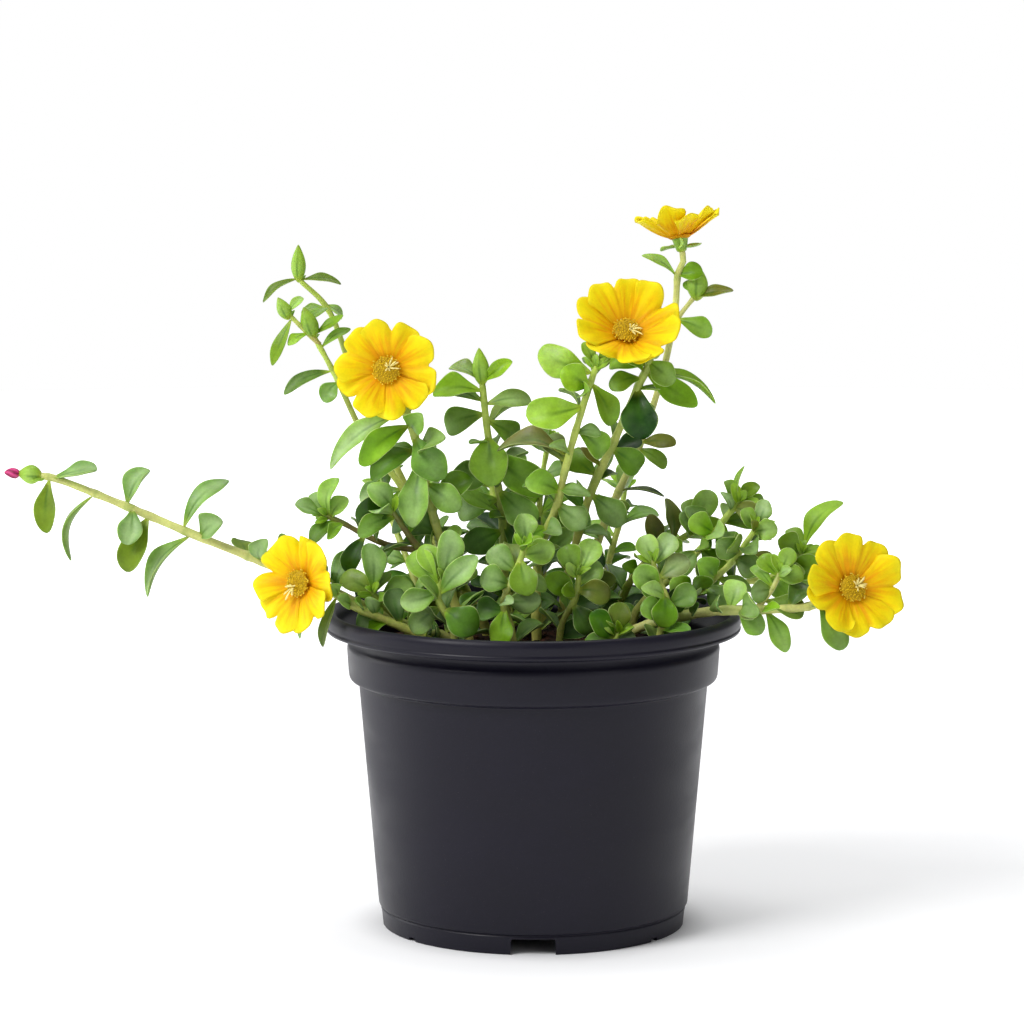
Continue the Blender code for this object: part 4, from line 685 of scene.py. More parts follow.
def pot_profile():
    """Radius and height round the wall's section, from the centre of the foot outward."""
    outer = [
        (0, 0), (CENTRE_PAD_RADIUS, 0), (CENTRE_PAD_RADIUS + 0.5, FLOOR_BOTTOM),
        (FOOT_RADIUS - 2.2, FLOOR_BOTTOM), (FOOT_RADIUS - 1.7, 0), (FOOT_RADIUS - 0.4, 0),
        (FOOT_RADIUS, 0.6), (FOOT_RADIUS + 0.3, FOOT_HEIGHT - 0.4), (BODY_FOOT_RADIUS, FOOT_HEIGHT + 0.2),
        (BODY_TOP_RADIUS, COLLAR_BOTTOM - 1.2), (BODY_TOP_RADIUS + 2.4, COLLAR_BOTTOM - 0.2),
        (COLLAR_RADIUS - 0.8, COLLAR_BOTTOM + 1.8), (COLLAR_RADIUS - 0.1, COLLAR_TOP - 1.6),
        (COLLAR_RADIUS + 0.5, COLLAR_TOP + 0.6), (RIM_RADIUS - 2.6, RIM_BOTTOM - 0.4),
        (RIM_RADIUS - 0.4, RIM_BOTTOM), (RIM_RADIUS, RIM_BOTTOM + 1.0), (RIM_RADIUS, RIM_TOP - 1.8),
        (RIM_RADIUS - 0.7, RIM_TOP - 0.5), (RIM_RADIUS - 2.0, RIM_TOP), (RIM_RADIUS - 3.2, RIM_TOP - 0.5),
    ]
    inner = [
        (RIM_RADIUS - 3.8, RIM_TOP - 2.0), (RIM_RADIUS - 4.2, RIM_BOTTOM + 1.4),
        (COLLAR_RADIUS - WALL, COLLAR_TOP + 1.2), (COLLAR_RADIUS - WALL - 0.8, COLLAR_BOTTOM + 2.6),
        (BODY_TOP_RADIUS - WALL, COLLAR_BOTTOM + 1.0), (BODY_FOOT_RADIUS - WALL, FLOOR_TOP + 1.5),
        (BODY_FOOT_RADIUS - WALL - 1.5, FLOOR_TOP), (0, FLOOR_TOP),
    ]
    return outer + inner


def add_turned(bm, profile, segments):
    """Turns a profile that starts and ends on the axis into a closed solid."""
    verts = [bm.verts.new((radius, 0, height)) for radius, height in profile]
    edges = [bm.edges.new(pair) for pair in zip(verts, verts[1:])]
    bmesh.ops.spin(bm, geom=verts + edges, cent=(0, 0, 0), axis=(0, 0, 1), angle=2 * math.pi,
                   steps=segments, use_merge=True)
    bmesh.ops.remove_doubles(bm, verts=bm.verts, dist=1e-4)


def add_pot_shape(bm):
    add_turned(bm, pot_profile(), POT_SEGMENTS)


def soil_rings(count):
    """The rings of the soil's top, from its edge to its middle."""
    return [(SOIL_EDGE * (1 - i / count), SOIL_AT_WALL) for i in range(1, count + 1)]


def soil_heap(x, y):
    """How near a point is to the middle, 1 there and 0 at the edge, and how high the heap is there."""
    fade = 1 - (math.hypot(x, y) / SOIL_EDGE) ** 2
    lump = noise.noise(Vector((x, y, 0)) * 0.11)
    return fade, fade * (SOIL_MOUND + 2 * SOIL_LUMPS * lump)


def soil_profile():
    side = [
        (0, FLOOR_TOP + TOUCH_GAP), (BODY_FOOT_RADIUS - WALL - 2.2, FLOOR_TOP + TOUCH_GAP),
        (BODY_FOOT_RADIUS - WALL - 0.7, FLOOR_TOP + 2.0),
        (BODY_TOP_RADIUS - WALL - 0.6, COLLAR_BOTTOM + 1.4),
        (COLLAR_RADIUS - WALL - 1.5, COLLAR_BOTTOM + 3.4), (SOIL_EDGE, SOIL_TOP - 3),
    ]
    return side + soil_rings(SOIL_RINGS)


def add_soil_shape(bm):
    """Peat to just below the rim, heaped a little and lumpy on top."""
    add_turned(bm, soil_profile(), SOIL_SEGMENTS)
    for vert in bm.verts:
        if vert.co.z > SOIL_TOP - 2:
            vert.co.z += soil_heap(vert.co.x, vert.co.y)[1]


def add_bloom_shape(bm, bloom):
    """All petals and the heart of a bloom in place, not yet fused."""
    add_heart(bm)
    for i in range(PETALS):
        add_petal(bm, bloom, i)
    bmesh.ops.transform(bm, matrix=facing_matrix(bloom), verts=bm.verts)


def cut_away(piece, cutters):
    """Cuts every object of a collection out of a piece, then removes the collection."""
    modifier = piece.modifiers.new("cut", "BOOLEAN")
    modifier.operation = "DIFFERENCE"
    modifier.solver = "EXACT"
    modifier.operand_type = "COLLECTION"
    modifier.collection = cutters
    graph = bpy.context.evaluated_depsgraph_get()
    cut = bpy.data.meshes.new_from_object(piece.evaluated_get(graph))
    piece.modifiers.remove(modifier)
    piece.data = cut
    for cutter in list(cutters.objects):
        bpy.data.objects.remove(cutter, do_unlink=True)
    bpy.data.collections.remove(cutters)


# Fine forms

# Sides and rings of the round forms
LEAF_MESH = (8, 10)
BUD_MESH = (18, 14)
CALYX_MESH = (20, 11)
HEART_MESH = (24, 12)
EYE_MESH = (28, 14)
FILAMENT_MESH = (4, 5)
BUD_TIP_MESH = (30, 16)

# Stalks: the swelling where a leaf leaves them, and those that are browner or paler
FINE_STEM_SIDES = 10
FINE_STEM_STEP = 2.2
NODE_SWELL = 0.22
NODE_REACH = 1.5
FAR_AWAY = 99.0
BROWN_BRANCHES = ("left_bloom_stem",)
PALE_STALKS = ("left_trailing_stem", "top_bloom_stem", "right_trailing_stem")

# Leaves added between the listed ones, and where the plant stays open
CROWN_LEAVES = 8
DRESSING_SEED = 500
MORE_LEAVES_SEED = 300
MORE_LEAVES_EVERY = 6.0
MORE_LEAVES_REACH = 90.0
MORE_LEAVES_LENGTH = (8.0, 15.0)
MORE_LEAVES_SLIMNESS = (0.40, 0.60)
MORE_LEAVES_SHRINK = 0.06
BARE_STEMS = ("upper_left_stem", "left_bud_stem", "top_bloom_stem")
BARE_ABOVE = 130.0
OPEN_FRONT = 106.0
OPEN_FRONT_END = 45.0

# Painted shade inside the plant
SHADE_REACH = 13.0
SHADE_WEIGHT = 0.55
LIGHT_FROM = Vector((-0.42, -0.45, 0.79))

# Leaves that stand clear in the front view: where the tip is (x, z), then how light, how young,
# how frosted and how reddened the leaf is, each from 0 to 1
TINT_REACH = 1.6
TINTED_LEAVES = [
    (-134, 145, 0.5, 0.1, 0.75, 0.0), (-150, 124, 0.3, 0.6, 0.0, 0.35), (-145, 115, 0.5, 0.3, 0.6, 0.2),
    (-118, 144, 0.45, 0.2, 0.7, 0.0), (-125, 121, 0.5, 0.1, 0.9, 0.0), (-126, 112, 0.25, 0.6, 0.0, 0.35),
    (-95, 142, 0.5, 0.1, 0.7, 0.0), (-96, 129, 0.45, 0.0, 0.75, 0.1), (-121, 105, 0.5, 0.3, 0.6, 0.1),
    (-86, 194, 0.25, 0.3, 0.1, 0.4), (-60, 200, 0.25, 0.3, 0.1, 0.4), (-82, 174, 0.45, 0.7, 0.0, 0.2),
    (-79, 166, 0.2, 0.2, 0.2, 0.1), (-66, 163, 0.6, 0.1, 0.5, 0.0), (-66, 91, 0.25, 0.2, 0.1, 0.4),
    (45.5, 150, 0.35, 0.4, 0.0, 0.8), (42, 142, 0.5, 0.4, 0.1, 0.3), (42, 133, 0.0, 0.0, 0.0, 0.3),
    (-12, 151, 0.2, 0.0, 0.3, 1.0), (43, 132, 0.3, 0.2, 0.1, 0.8), (37, 127, 0.2, 0.1, 0.1, 0.9),
    (27, 106, 0.4, 0.3, 0.1, 0.6), (34, 153, 0.0, 0.0, 0.0, 0.0), (9, 122, 0.5, 0.5, 0.2, 0.1),
    (-25, 129, 0.7, 0.2, 0.8, 0.0), (-17, 121, 0.6, 0.2, 0.8, 0.0), (-41, 106, 0.7, 0.2, 0.8, 0.0),
    (-51, 123, 0.7, 0.2, 0.7, 0.0), (-54, 96, 0.6, 0.0, 0.8, 0.0), (-37, 127, 0.7, 0.1, 0.6, 0.0),
    (-27, 142, 0.5, 0.1, 0.3, 0.0), (-1, 108, 0.5, 0.5, 0.1, 0.2),
]

# Blooms: how far style arms lean, and how much of the gap between two petals is left
FINE_PETAL_ACROSS = 36
FINE_PETAL_ALONG = 20
FINE_PETAL_THICKNESS = 0.3
PETAL_REACH = 0.955
PETAL_PARTING = {"top_bloom": 0.5}
HEART_SUNK = 0.7
FINE_STAMENS = 150
STAMENS_SEED = 900
STYLE_ARMS = 10
STYLE_LEANS = {
    "left_bloom": (0.7, 0.0, 0.5), "right_bloom": (0.8, -0.2, -0.4), "low_left_bloom": (-0.4, 0.0, -0.8),
    "far_right_bloom": (0.6, 0.0, 0.4), "top_bloom": (0.5, -0.5, 0.0),
}
BUD_TIP_SUNK = 1.0

# Pot and peat
POT_TURNS = 160
SOIL_TURNS = 110
SOIL_FINE_RINGS = 46
CRUMBS = 520
CRUMBS_SEED = 77


def mark(vert, layers, **values):
    for name, value in values.items():
        vert[layers[name]] = value


def float_layers(bm, *names):
    return {name: bm.verts.layers.float.new(name) for name in names}


def mesh_of(name, bm):
    mesh = bpy.data.meshes.new(name)
    bm.to_mesh(mesh)
    bm.free()
    return mesh


def finish_piece(name, bm, node, look, smooth_levels=0):
    """A shown piece in metres that stands for a CAD node and takes a look."""
    bmesh.ops.scale(bm, vec=(MM, MM, MM), verts=bm.verts)
    mesh = mesh_of(name, bm)
    mesh.shade_smooth()
    mesh.materials.append(look)
    piece = bpy.data.objects.new(name, mesh)
    bpy.context.scene.collection.objects.link(piece)
    if smooth_levels:
        rounding = piece.modifiers.new("rounding", "SUBSURF")
        rounding.levels = smooth_levels
        rounding.render_levels = smooth_levels
    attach(piece, "root")
    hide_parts(node)
    return piece


def smooth_step(low, high, value):
    t = max(0.0, min(1.0, (value - low) / (high - low)))
    return t * t * (3 - 2 * t)


def blade_width(t, widest, blunt, neck):
    """Half width of a spoon-shaped blade along its length, 1 at its widest place."""
    if t < widest:
        return neck + (1 - neck) * smooth_step(0.0, widest, t)
    return max(0.0, 1 - ((t - widest) / (1 - widest)) ** 2) ** blunt


def leaf_tint(leaf, shade, young, draw):
    """How light, young, frosted and reddened a leaf is, as listed where it stands clear."""
    # Painted shade: the tone is darkened and the frost thinned by how much other leaves shade this leaf
    tone = draw.gauss(0.62, 0.27) - SHADE_WEIGHT * shade
    pale = max(0.0, draw.gauss(0.36, 0.38)) * (1 - 0.75 * shade)
    warm = draw.uniform(0.3, 0.9) if draw.random() > 0.93 else 0.0
    for x, z, listed_tone, listed_young, listed_pale, listed_warm in TINTED_LEAVES:
        if abs(leaf.tip.x - x) + abs(leaf.tip.z - z) < TINT_REACH:
            tone, young, pale, warm = listed_tone, listed_young, listed_pale, listed_warm
    return {"tone": max(0.0, min(1.0, tone)), "young": young, "pale": min(1.0, pale), "warm": warm}


def shade_on(leaves):
    """How much each leaf lies in the shade of others between it and the light, from 0 to 1."""
    middles = [leaf.root.lerp(leaf.tip, 0.6) for leaf in leaves]
    shades = {}
    for leaf, here in zip(leaves, middles):
        total = 0.0
        for other, there in zip(leaves, middles):
            way = there - here
            if other is leaf or max(abs(way.x), abs(way.y)) > 2 * SHADE_REACH:
                continue
            far = way.length
            lit = way.dot(LIGHT_FROM) / far if far > 0.1 else 0.0
            if lit > 0.35:
                total += lit * math.exp(-(far / SHADE_REACH) ** 2) * other.width / 8
        shades[id(leaf)] = 1 - math.exp(-0.55 * total)
    return shades


def add_fine_leaf(bm, layers, leaf, draw, tint):
    """A fleshy spoon-shaped blade on a narrow neck, folded along its middle and waved at its rim."""
    along, face, side = leaf.frame()
    length = (leaf.tip - leaf.root).length
    slim = leaf.width / length
    broad = smooth_step(0.30, 0.55, slim)
    widest = draw.uniform(0.52, 0.60) + 0.08 * broad
    blunt = draw.uniform(0.74, 0.95) - broad * draw.uniform(0.24, 0.42)
    arch = leaf.arch + draw.uniform(-0.07, 0.07)
    curl = draw.uniform(-0.06, 0.14) * length
    cup = draw.uniform(0.0, 0.4)
    fold = draw.uniform(0.05, 0.6)
    sway = draw.uniform(-0.08, 0.08) * length
    roll = math.radians(draw.uniform(-26, 26)) * leaf.looseness
    twist = math.radians(draw.uniform(-30, 30)) * leaf.looseness
    ripple = draw.uniform(0.03, 0.20)
    ripple_start = draw.uniform(0, 6)
    jag = draw.uniform(0.02, 0.07)
    lopsided = draw.uniform(-0.10, 0.10)
    thick = min(LEAF_THICKNESS, 0.50 + 0.11 * leaf.width)
    for vert, angle, t in sphere_points(bm, *LEAF_MESH):
        pole = t < 0.001 or t > 0.999
        t = 1 - (1 - t) ** 1.25
        blade = 0.0 if pole else blade_width(t, widest, blunt, 0.15)
        u = 0.0 if pole else math.cos(angle)
        v = 0.0 if pole else math.sin(angle)
        uneven = 1 + jag * math.sin(11 * t + 2.1 * u + ripple_start) + lopsided * u * math.sin(math.pi * t)
        half_width = 0.55 * leaf.width * blade * uneven
        flesh = thick * min(1.0, 0.34 + 0.9 * blade)
        rise = flesh * (0.34 * v if v > 0 else 0.60 * v)
        groove = 0.42 * flesh * math.exp(-(u / 0.3) ** 2) * smooth_step(0.0, 0.15, t) * (1 - t) ** 0.7
        rise -= groove if v > 0 else 0.3 * groove
        rise += half_width * (cup * u * u * t + fold * abs(u) ** 1.3)
        rise += ripple * half_width * abs(u) ** 1.5 * math.sin(9 * t + 1.6 * u + ripple_start)
        bow = arch * length * math.sin(math.pi * t) - curl * t ** 3
        turn = roll * smooth_step(0.0, 0.4, t) + twist * t * t
        across = side * math.cos(turn) + face * math.sin(turn)
        out = face * math.cos(turn) - side * math.sin(turn)
        middle = leaf.root + along * (length * t - SUNK) + face * bow + side * (sway * math.sin(math.pi * t))
        vert.co = middle + across * (half_width * u) + out * rise
        mark(vert, layers, across=u, along=t, upper=0.5 + 0.5 * v, **tint)


def add_fine_bud(bm, layers, root, tip, width, draw):
    """A plump pointed bud wrapped by two keeled sepals."""
    tip = Vector(tip)
    along = (tip - Vector(root)).normalized()
    root = Vector(root) - along * BUD_SUNK
    side, up = bud_frame(along)
    for vert, angle, t in sphere_points(bm, *BUD_MESH):
        radius = 0.5 * width * math.sin(math.pi * t ** 0.82) ** 0.85 if 0.001 < t < 0.999 else 0.0
        keel = 1 + 0.12 * abs(math.cos(angle)) ** 6 * math.sin(math.pi * t)
        seam = 1 - 0.20 * math.exp(-(math.sin(angle - 1.3) / 0.20) ** 2) * t
        vert.co = root.lerp(tip, t) + radius * keel * seam * ring_way(side, up, angle)
        mark(vert, layers, across=math.cos(angle) * 0.8, along=t, upper=1.0, tone=0.7, young=1.0,
             pale=0.55 - 0.5 * t, warm=0.5 * smooth_step(0.75, 1.0, t))


def crown_leaves(path, draw, with_bud):
    """The small new leaves at a growing tip: a tight tuft, or a few narrow ones below a bud."""
    end = path[-1]
    along = (path[-1] - path[-2]).normalized()
    lead = (along + Vector((0, 0, 0.3))).normalized()
    across = lead.orthogonal().normalized()
    count = CROWN_LEAVES // 3 if with_bud else CROWN_LEAVES
    leaves = []
    for i in range(count):
        angle = i * GOLDEN_ANGLE + draw.uniform(0, 0.5)
        out = Matrix.Rotation(angle, 3, lead) @ across
        heart = i / (count - 1)
        reach = (7.6 - 4.4 * heart) * draw.uniform(0.8, 1.15) * (0.6 if with_bud else 1.0)
        spread = 1.15 - 0.9 * heart
        way = (lead * draw.uniform(0.7, 1.0) + out * spread).normalized()
        root = end - lead * (2.4 - 2.0 * heart)
        slim = draw.uniform(0.20, 0.28) if with_bud else draw.uniform(0.34, 0.50)
        leaf = Leaf(root, root + way * reach, reach * slim, 35, 0.08)
        leaf.looseness = 1.0
        leaves.append(leaf)
    return leaves


def add_fine_stem(bm, layers, path, thick, roots, brown):
    """A round fleshy stem, swollen where leaves leave it, thinner towards its tip."""
    rings = len(path) + 1
    frames = path_frames(path)
    swells = []
    for point in path:
        near = min([(point - root).length for root in roots] + [FAR_AWAY])
        swells.append(1 + NODE_SWELL * math.exp(-(near / NODE_REACH) ** 2))
    for vert, angle, t in sphere_points(bm, FINE_STEM_SIDES, rings):
        ring = round(t * rings) - 1
        first = ring < 0
        last = ring >= len(path)
        ring = max(0, min(len(path) - 1, ring))
        fraction = ring / (len(path) - 1)
        side, up, along = frames[ring]
        swell = swells[ring]
        radius = 0.44 * (thick[0] + (thick[1] - thick[0]) * fraction) * swell
        place = path[ring]
        if first or last:
            place = place + along * (0.35 * radius if last else 0.0)
            radius = 0.0
        elif ring == len(path) - 1:
            radius *= 0.75
        radius *= 1 + 0.07 * noise.noise(place * 0.35 + Vector((3, 0, 0)))
        vert.co = place + radius * ring_way(side, up, angle)
        mark(vert, layers, along=fraction, swell=(swell - 1) / NODE_SWELL, round=angle / math.pi, brown=brown)


def add_fine_calyx(bm, layers, bloom):
    """The green cup below a bloom, its two broad sepals pressed to the petals."""
    matrix = facing_matrix(bloom)
    for vert, angle, t in sphere_points(bm, *CALYX_MESH):
        pole = t < 0.001 or t > 0.999
        ridge = 1 + 0.10 * math.cos(2 * angle) + 0.03 * math.cos(9 * angle)
        radius = 0.0 if pole else CALYX_RADIUS * (0.42 + 0.58 * t ** 0.7) * ridge
        height = -TOUCH_GAP - CALYX_LENGTH * (1 - min(1.0, t / 0.8))
        vert.co = matrix @ polar(radius, angle, height)
        mark(vert, layers, across=math.cos(angle) * 0.7, along=t, upper=1.0, tone=0.7, young=0.7,
             pale=0.35, warm=0.0)


def dress_stem(stem, lines, leaves, shades, looks):
    draw = random.Random(stem.fill.seed + DRESSING_SEED)
    bm = bmesh.new()
    layers = float_layers(bm, "across", "along", "upper", "tone", "young", "pale", "warm")
    top = max(point.z for path, _ in lines for point in path)
    for leaf in leaves:
        if leaf.turn == FILL_LEAF_TURN:
            leaf.looseness = 1.0
        height = (leaf.root.z - SOIL_TOP) / max(20.0, top - SOIL_TOP)
        young = max(0.0, min(1.0, 0.7 * height ** 2 + draw.uniform(-0.15, 0.3)))
        add_fine_leaf(bm, layers, leaf, draw, leaf_tint(leaf, shades[id(leaf)], young, draw))
    for path, _ in lines:
        if all((path[-1] - Vector(facing_matrix(b).translation)).length > 8 for b in BLOOMS):
            with_bud = any((path[-1] - Vector(bud[0])).length < 6 for bud in stem.buds)
            for leaf in crown_leaves(path, draw, with_bud):
                tint = {"tone": draw.uniform(0.45, 0.9), "young": 1.0,
                        "pale": draw.uniform(0, 0.3), "warm": 0.0}
                add_fine_leaf(bm, layers, leaf, draw, tint)
    for bud in stem.buds:
        add_fine_bud(bm, layers, *bud, draw)
    for bloom in blooms_of(stem):
        add_fine_calyx(bm, layers, bloom)
    finish_piece(stem.name + "_leaves", bm, stem.name, looks["leaf"], 1)
    bm = bmesh.new()
    layers = float_layers(bm, "along", "swell", "round", "brown")
    roots = [leaf.root for leaf in leaves]
    for i, (path, thick) in enumerate(stem_lines(stem, FINE_STEM_STEP)):
        brown = 1.0 if i and stem.name in BROWN_BRANCHES else draw.uniform(0.0, 0.3)
        if stem.name in PALE_STALKS:
            brown = -0.8
        add_fine_stem(bm, layers, path, thick, roots, brown)
    finish_piece(stem.name + "_stalk", bm, stem.name, looks["stalk"])


# Blooms

def add_fine_petal(bm, layers, bloom, index):
    """A broad petal parted into two round lobes, creased along its middle and ruffled at its edge."""
    made = bmesh.ops.create_grid(bm, x_segments=FINE_PETAL_ACROSS, y_segments=FINE_PETAL_ALONG, size=1.0)
    draw = random.Random(bloom.spin * 100 + index)
    phase = draw.uniform(0, 6)
    reach = bloom.radius * draw.uniform(0.94, 1.03) * PETAL_REACH
    turn = 2 * math.pi * index / PETALS
    shade = draw.uniform(0, 1)
    fine_phase = draw.uniform(0, 6)
    depth = draw.uniform(0.06, 0.15)
    lean = draw.uniform(-0.10, 0.10)
    roll_back = draw.uniform(-0.03, 0.08)
    parting = PETAL_PARTING.get(bloom.name, 1.0)
    for vert in made["verts"]:
        u = vert.co.x
        v = 0.5 + 0.5 * vert.co.y
        lobe = math.sqrt(max(0.0, 1 - ((abs(u - lean) - 0.46) / 0.60) ** 2))
        edge = 0.63 + 0.37 * lobe - depth * math.exp(-((u - lean) / 0.09) ** 2)
        edge = 1 - (1 - edge) * parting + 0.018 * math.sin(11 * u + fine_phase)
        radius = 1.2 + (reach - 1.2) * v * (1 - (1 - edge) * v)
        spread = math.radians(41 + 5 * v)
        wave = 0.045 * bloom.radius * v * v * math.sin(4.5 * u + phase)
        ruffle = 0.036 * bloom.radius * v ** 3 * math.sin(9 * u + fine_phase)
        pleat = 0.09 * math.sin(15 * u + 0.6 * math.sin(5 * v + phase)) * math.sin(math.pi * min(1, v * 1.05))
        crease = -1.0 * math.exp(-((u - lean) / 0.14) ** 2) * v * v
        dome = 0.07 * bloom.radius * (1 - u * u) * math.sin(math.pi * v * 0.9)
        height = petal_height(radius, bloom) + 1.3 * u * v + wave + ruffle + pleat + crease + dome
        height -= roll_back * bloom.radius * v ** 4
        angle = turn + spread * u
        vert.co = polar(radius, angle, height)
        mark(vert, layers, across=u - lean, out=v, shade=shade)
    faces = list({face for vert in made["verts"] for face in vert.link_faces})
    bmesh.ops.recalc_face_normals(bm, faces=faces)
    bmesh.ops.solidify(bm, geom=faces, thickness=FINE_PETAL_THICKNESS)


def add_fine_heart(bm, layers):
    """The rounded green-gold disc that petals and stamens grow from."""
    for vert, _, _ in sphere_points(bm, *HEART_MESH):
        vert.co.x *= HEART_RADIUS
        vert.co.y *= HEART_RADIUS
        half = 0.5 * HEART_THICKNESS + (HEART_SUNK if vert.co.z < 0 else 0)
        vert.co.z = 0.5 * HEART_THICKNESS + vert.co.z * half
        mark(vert, layers, across=0.0, out=0.0, shade=0.5)


def add_filament(bm, layers, root, tip, thick, kind, bend=0.0):
    """A short bent thread."""
    root = Vector(root)
    tip = Vector(tip)
    along = (tip - root).normalized()
    side = along.orthogonal().normalized()
    up = side.cross(along)
    for vert, angle, t in sphere_points(bm, *FILAMENT_MESH):
        radius = 0.5 * thick if 0.001 < t < 0.999 else 0.0
        vert.co = root.lerp(tip, t) + Vector((0, 0, bend * math.sin(math.pi * t)))
        vert.co += radius * ring_way(side, up, angle)
        mark(vert, layers, kind=kind, along=t)


def add_anther(bm, layers, place, along, size, kind):
    side = along.orthogonal().normalized()
    up = side.cross(along)
    made = bmesh.ops.create_icosphere(bm, subdivisions=1, radius=1.0)
    for vert in made["verts"]:
        x, y, z = vert.co
        vert.co = place + size * (side * x * 1.0 + up * y * 0.6 + along * z * 0.55)
        mark(vert, layers, kind=kind, along=1.0)


def add_fine_eye(bm, layers, draw, lean_to):
    """A golden cushion of stamens with a brighter fringe, and pale style arms that lean to one side."""
    base = HEART_THICKNESS + 2 * TOUCH_GAP
    for vert, _, _ in sphere_points(bm, *EYE_MESH):
        x, y, z = vert.co
        lump = 1 + 0.05 * noise.noise(vert.co * 3.1)
        vert.co = Vector((x * EYE_RADIUS * 0.90 * lump, y * EYE_RADIUS * 0.90 * lump,
                          base + 0.70 * EYE_HEIGHT * (0.5 + 0.5 * z)))
        mark(vert, layers, kind=0.0, along=0.3)
    for i in range(FINE_STAMENS):
        angle = i * GOLDEN_ANGLE + draw.uniform(-0.2, 0.2)
        lean = math.sqrt((i + 0.5) / FINE_STAMENS)
        reach = EYE_RADIUS * (0.06 + 0.94 * lean) * draw.uniform(0.96, 1.10)
        height = base + EYE_HEIGHT * (0.86 - 0.50 * lean ** 2) * draw.uniform(0.88, 1.1)
        root = polar(0.75 * reach, angle, base + 0.25 * EYE_HEIGHT)
        tip = polar(reach, angle, height)
        fringe = smooth_step(0.80, 0.95, lean)
        add_filament(bm, layers, root, tip, 0.16, 0.30 + 0.4 * fringe)
        add_anther(bm, layers, tip, (tip - root).normalized(), draw.uniform(0.26, 0.40),
                   min(0.95, draw.uniform(0.30, 0.62) + 0.32 * fringe))
    for i in range(STYLE_ARMS):
        angle = 2 * math.pi * i / STYLE_ARMS + draw.uniform(-0.3, 0.3)
        root = lean_to * (0.30 * EYE_RADIUS) + Vector((0, 0, base + 0.7 * EYE_HEIGHT))
        reach = draw.uniform(1.6, 3.0)
        tip = lean_to * (0.30 * EYE_RADIUS + draw.uniform(0.8, 2.8))
        tip += polar(reach, angle, base + draw.uniform(1.1, 1.5) * EYE_HEIGHT)
        add_filament(bm, layers, root, tip, 0.48, 1.0, 0.4)


def dress_bloom(bloom, looks):
    draw = random.Random(bloom.spin + STAMENS_SEED)
    matrix = facing_matrix(bloom)
    bm = bmesh.new()
    layers = float_layers(bm, "across", "out", "shade")
    for i in range(PETALS):
        add_fine_petal(bm, layers, bloom, i)
    add_fine_heart(bm, layers)
    bmesh.ops.transform(bm, matrix=matrix, verts=bm.verts)
    finish_piece(bloom.name + "_petals", bm, bloom.name, looks["petal"])
    bm = bmesh.new()
    layers = float_layers(bm, "kind", "along")
    lean_to = matrix.to_3x3().inverted() @ Vector(STYLE_LEANS[bloom.name])
    lean_to.z = 0.0
    add_fine_eye(bm, layers, draw, lean_to)
    bmesh.ops.transform(bm, matrix=matrix, verts=bm.verts)
    finish_piece(bloom.name + "_stamens", bm, bloom.name + "_eye", looks["stamen"])


def dress_bud_tip(looks):
    """Furled magenta petals, twisted round each other at the end of the furthest bud."""
    bud = next(stem for stem in STEMS if stem.name == BUD_TIP_STEM).buds[0]
    root = Vector(bud[0])
    end = Vector(bud[1])
    along = (end - root).normalized()
    start = end - along * BUD_TIP_SUNK
    side, up = bud_frame(along)
    bm = bmesh.new()
    layers = float_layers(bm, "along", "round")
    for vert, angle, t in sphere_points(bm, *BUD_TIP_MESH):
        radius = 0.5 * BUD_TIP_WIDTH * math.sin(math.pi * t ** 0.7) ** 0.6 if 0.001 < t < 0.999 else 0.0
        fold = 1 - 0.14 * abs(math.sin(2.5 * angle + 3.2 * t)) ** 0.6
        vert.co = start + along * ((BUD_TIP_LENGTH * 0.97 + BUD_TIP_SUNK) * t)
        vert.co += radius * fold * ring_way(side, up, angle)
        mark(vert, layers, along=t, round=0.5 + 0.5 * math.sin(5 * angle + 6.4 * t))
    finish_piece("magenta_bud_petals", bm, BUD_TIP_NAME, looks["bud_tip"])


# Pot and soil

def rounded_profile(points, steps=4):
    """Replaces each marked corner of a section by an arc through its two cut-back points."""
    made = []
    for i, (radius, height, cut) in enumerate(points):
        here = Vector((radius, height, 0))
        if not cut or i in (0, len(points) - 1):
            made.append((radius, height))
            continue
        before = Vector((*points[i - 1][:2], 0)) - here
        after = Vector((*points[i + 1][:2], 0)) - here
        a = here + before.normalized() * min(cut, before.length * 0.45)
        b = here + after.normalized() * min(cut, after.length * 0.45)
        for k in range(steps + 1):
            t = k / steps
            spot = a * (1 - t) ** 2 + here * (2 * t * (1 - t)) + b * t ** 2
            made.append((spot.x, spot.y))
    return made


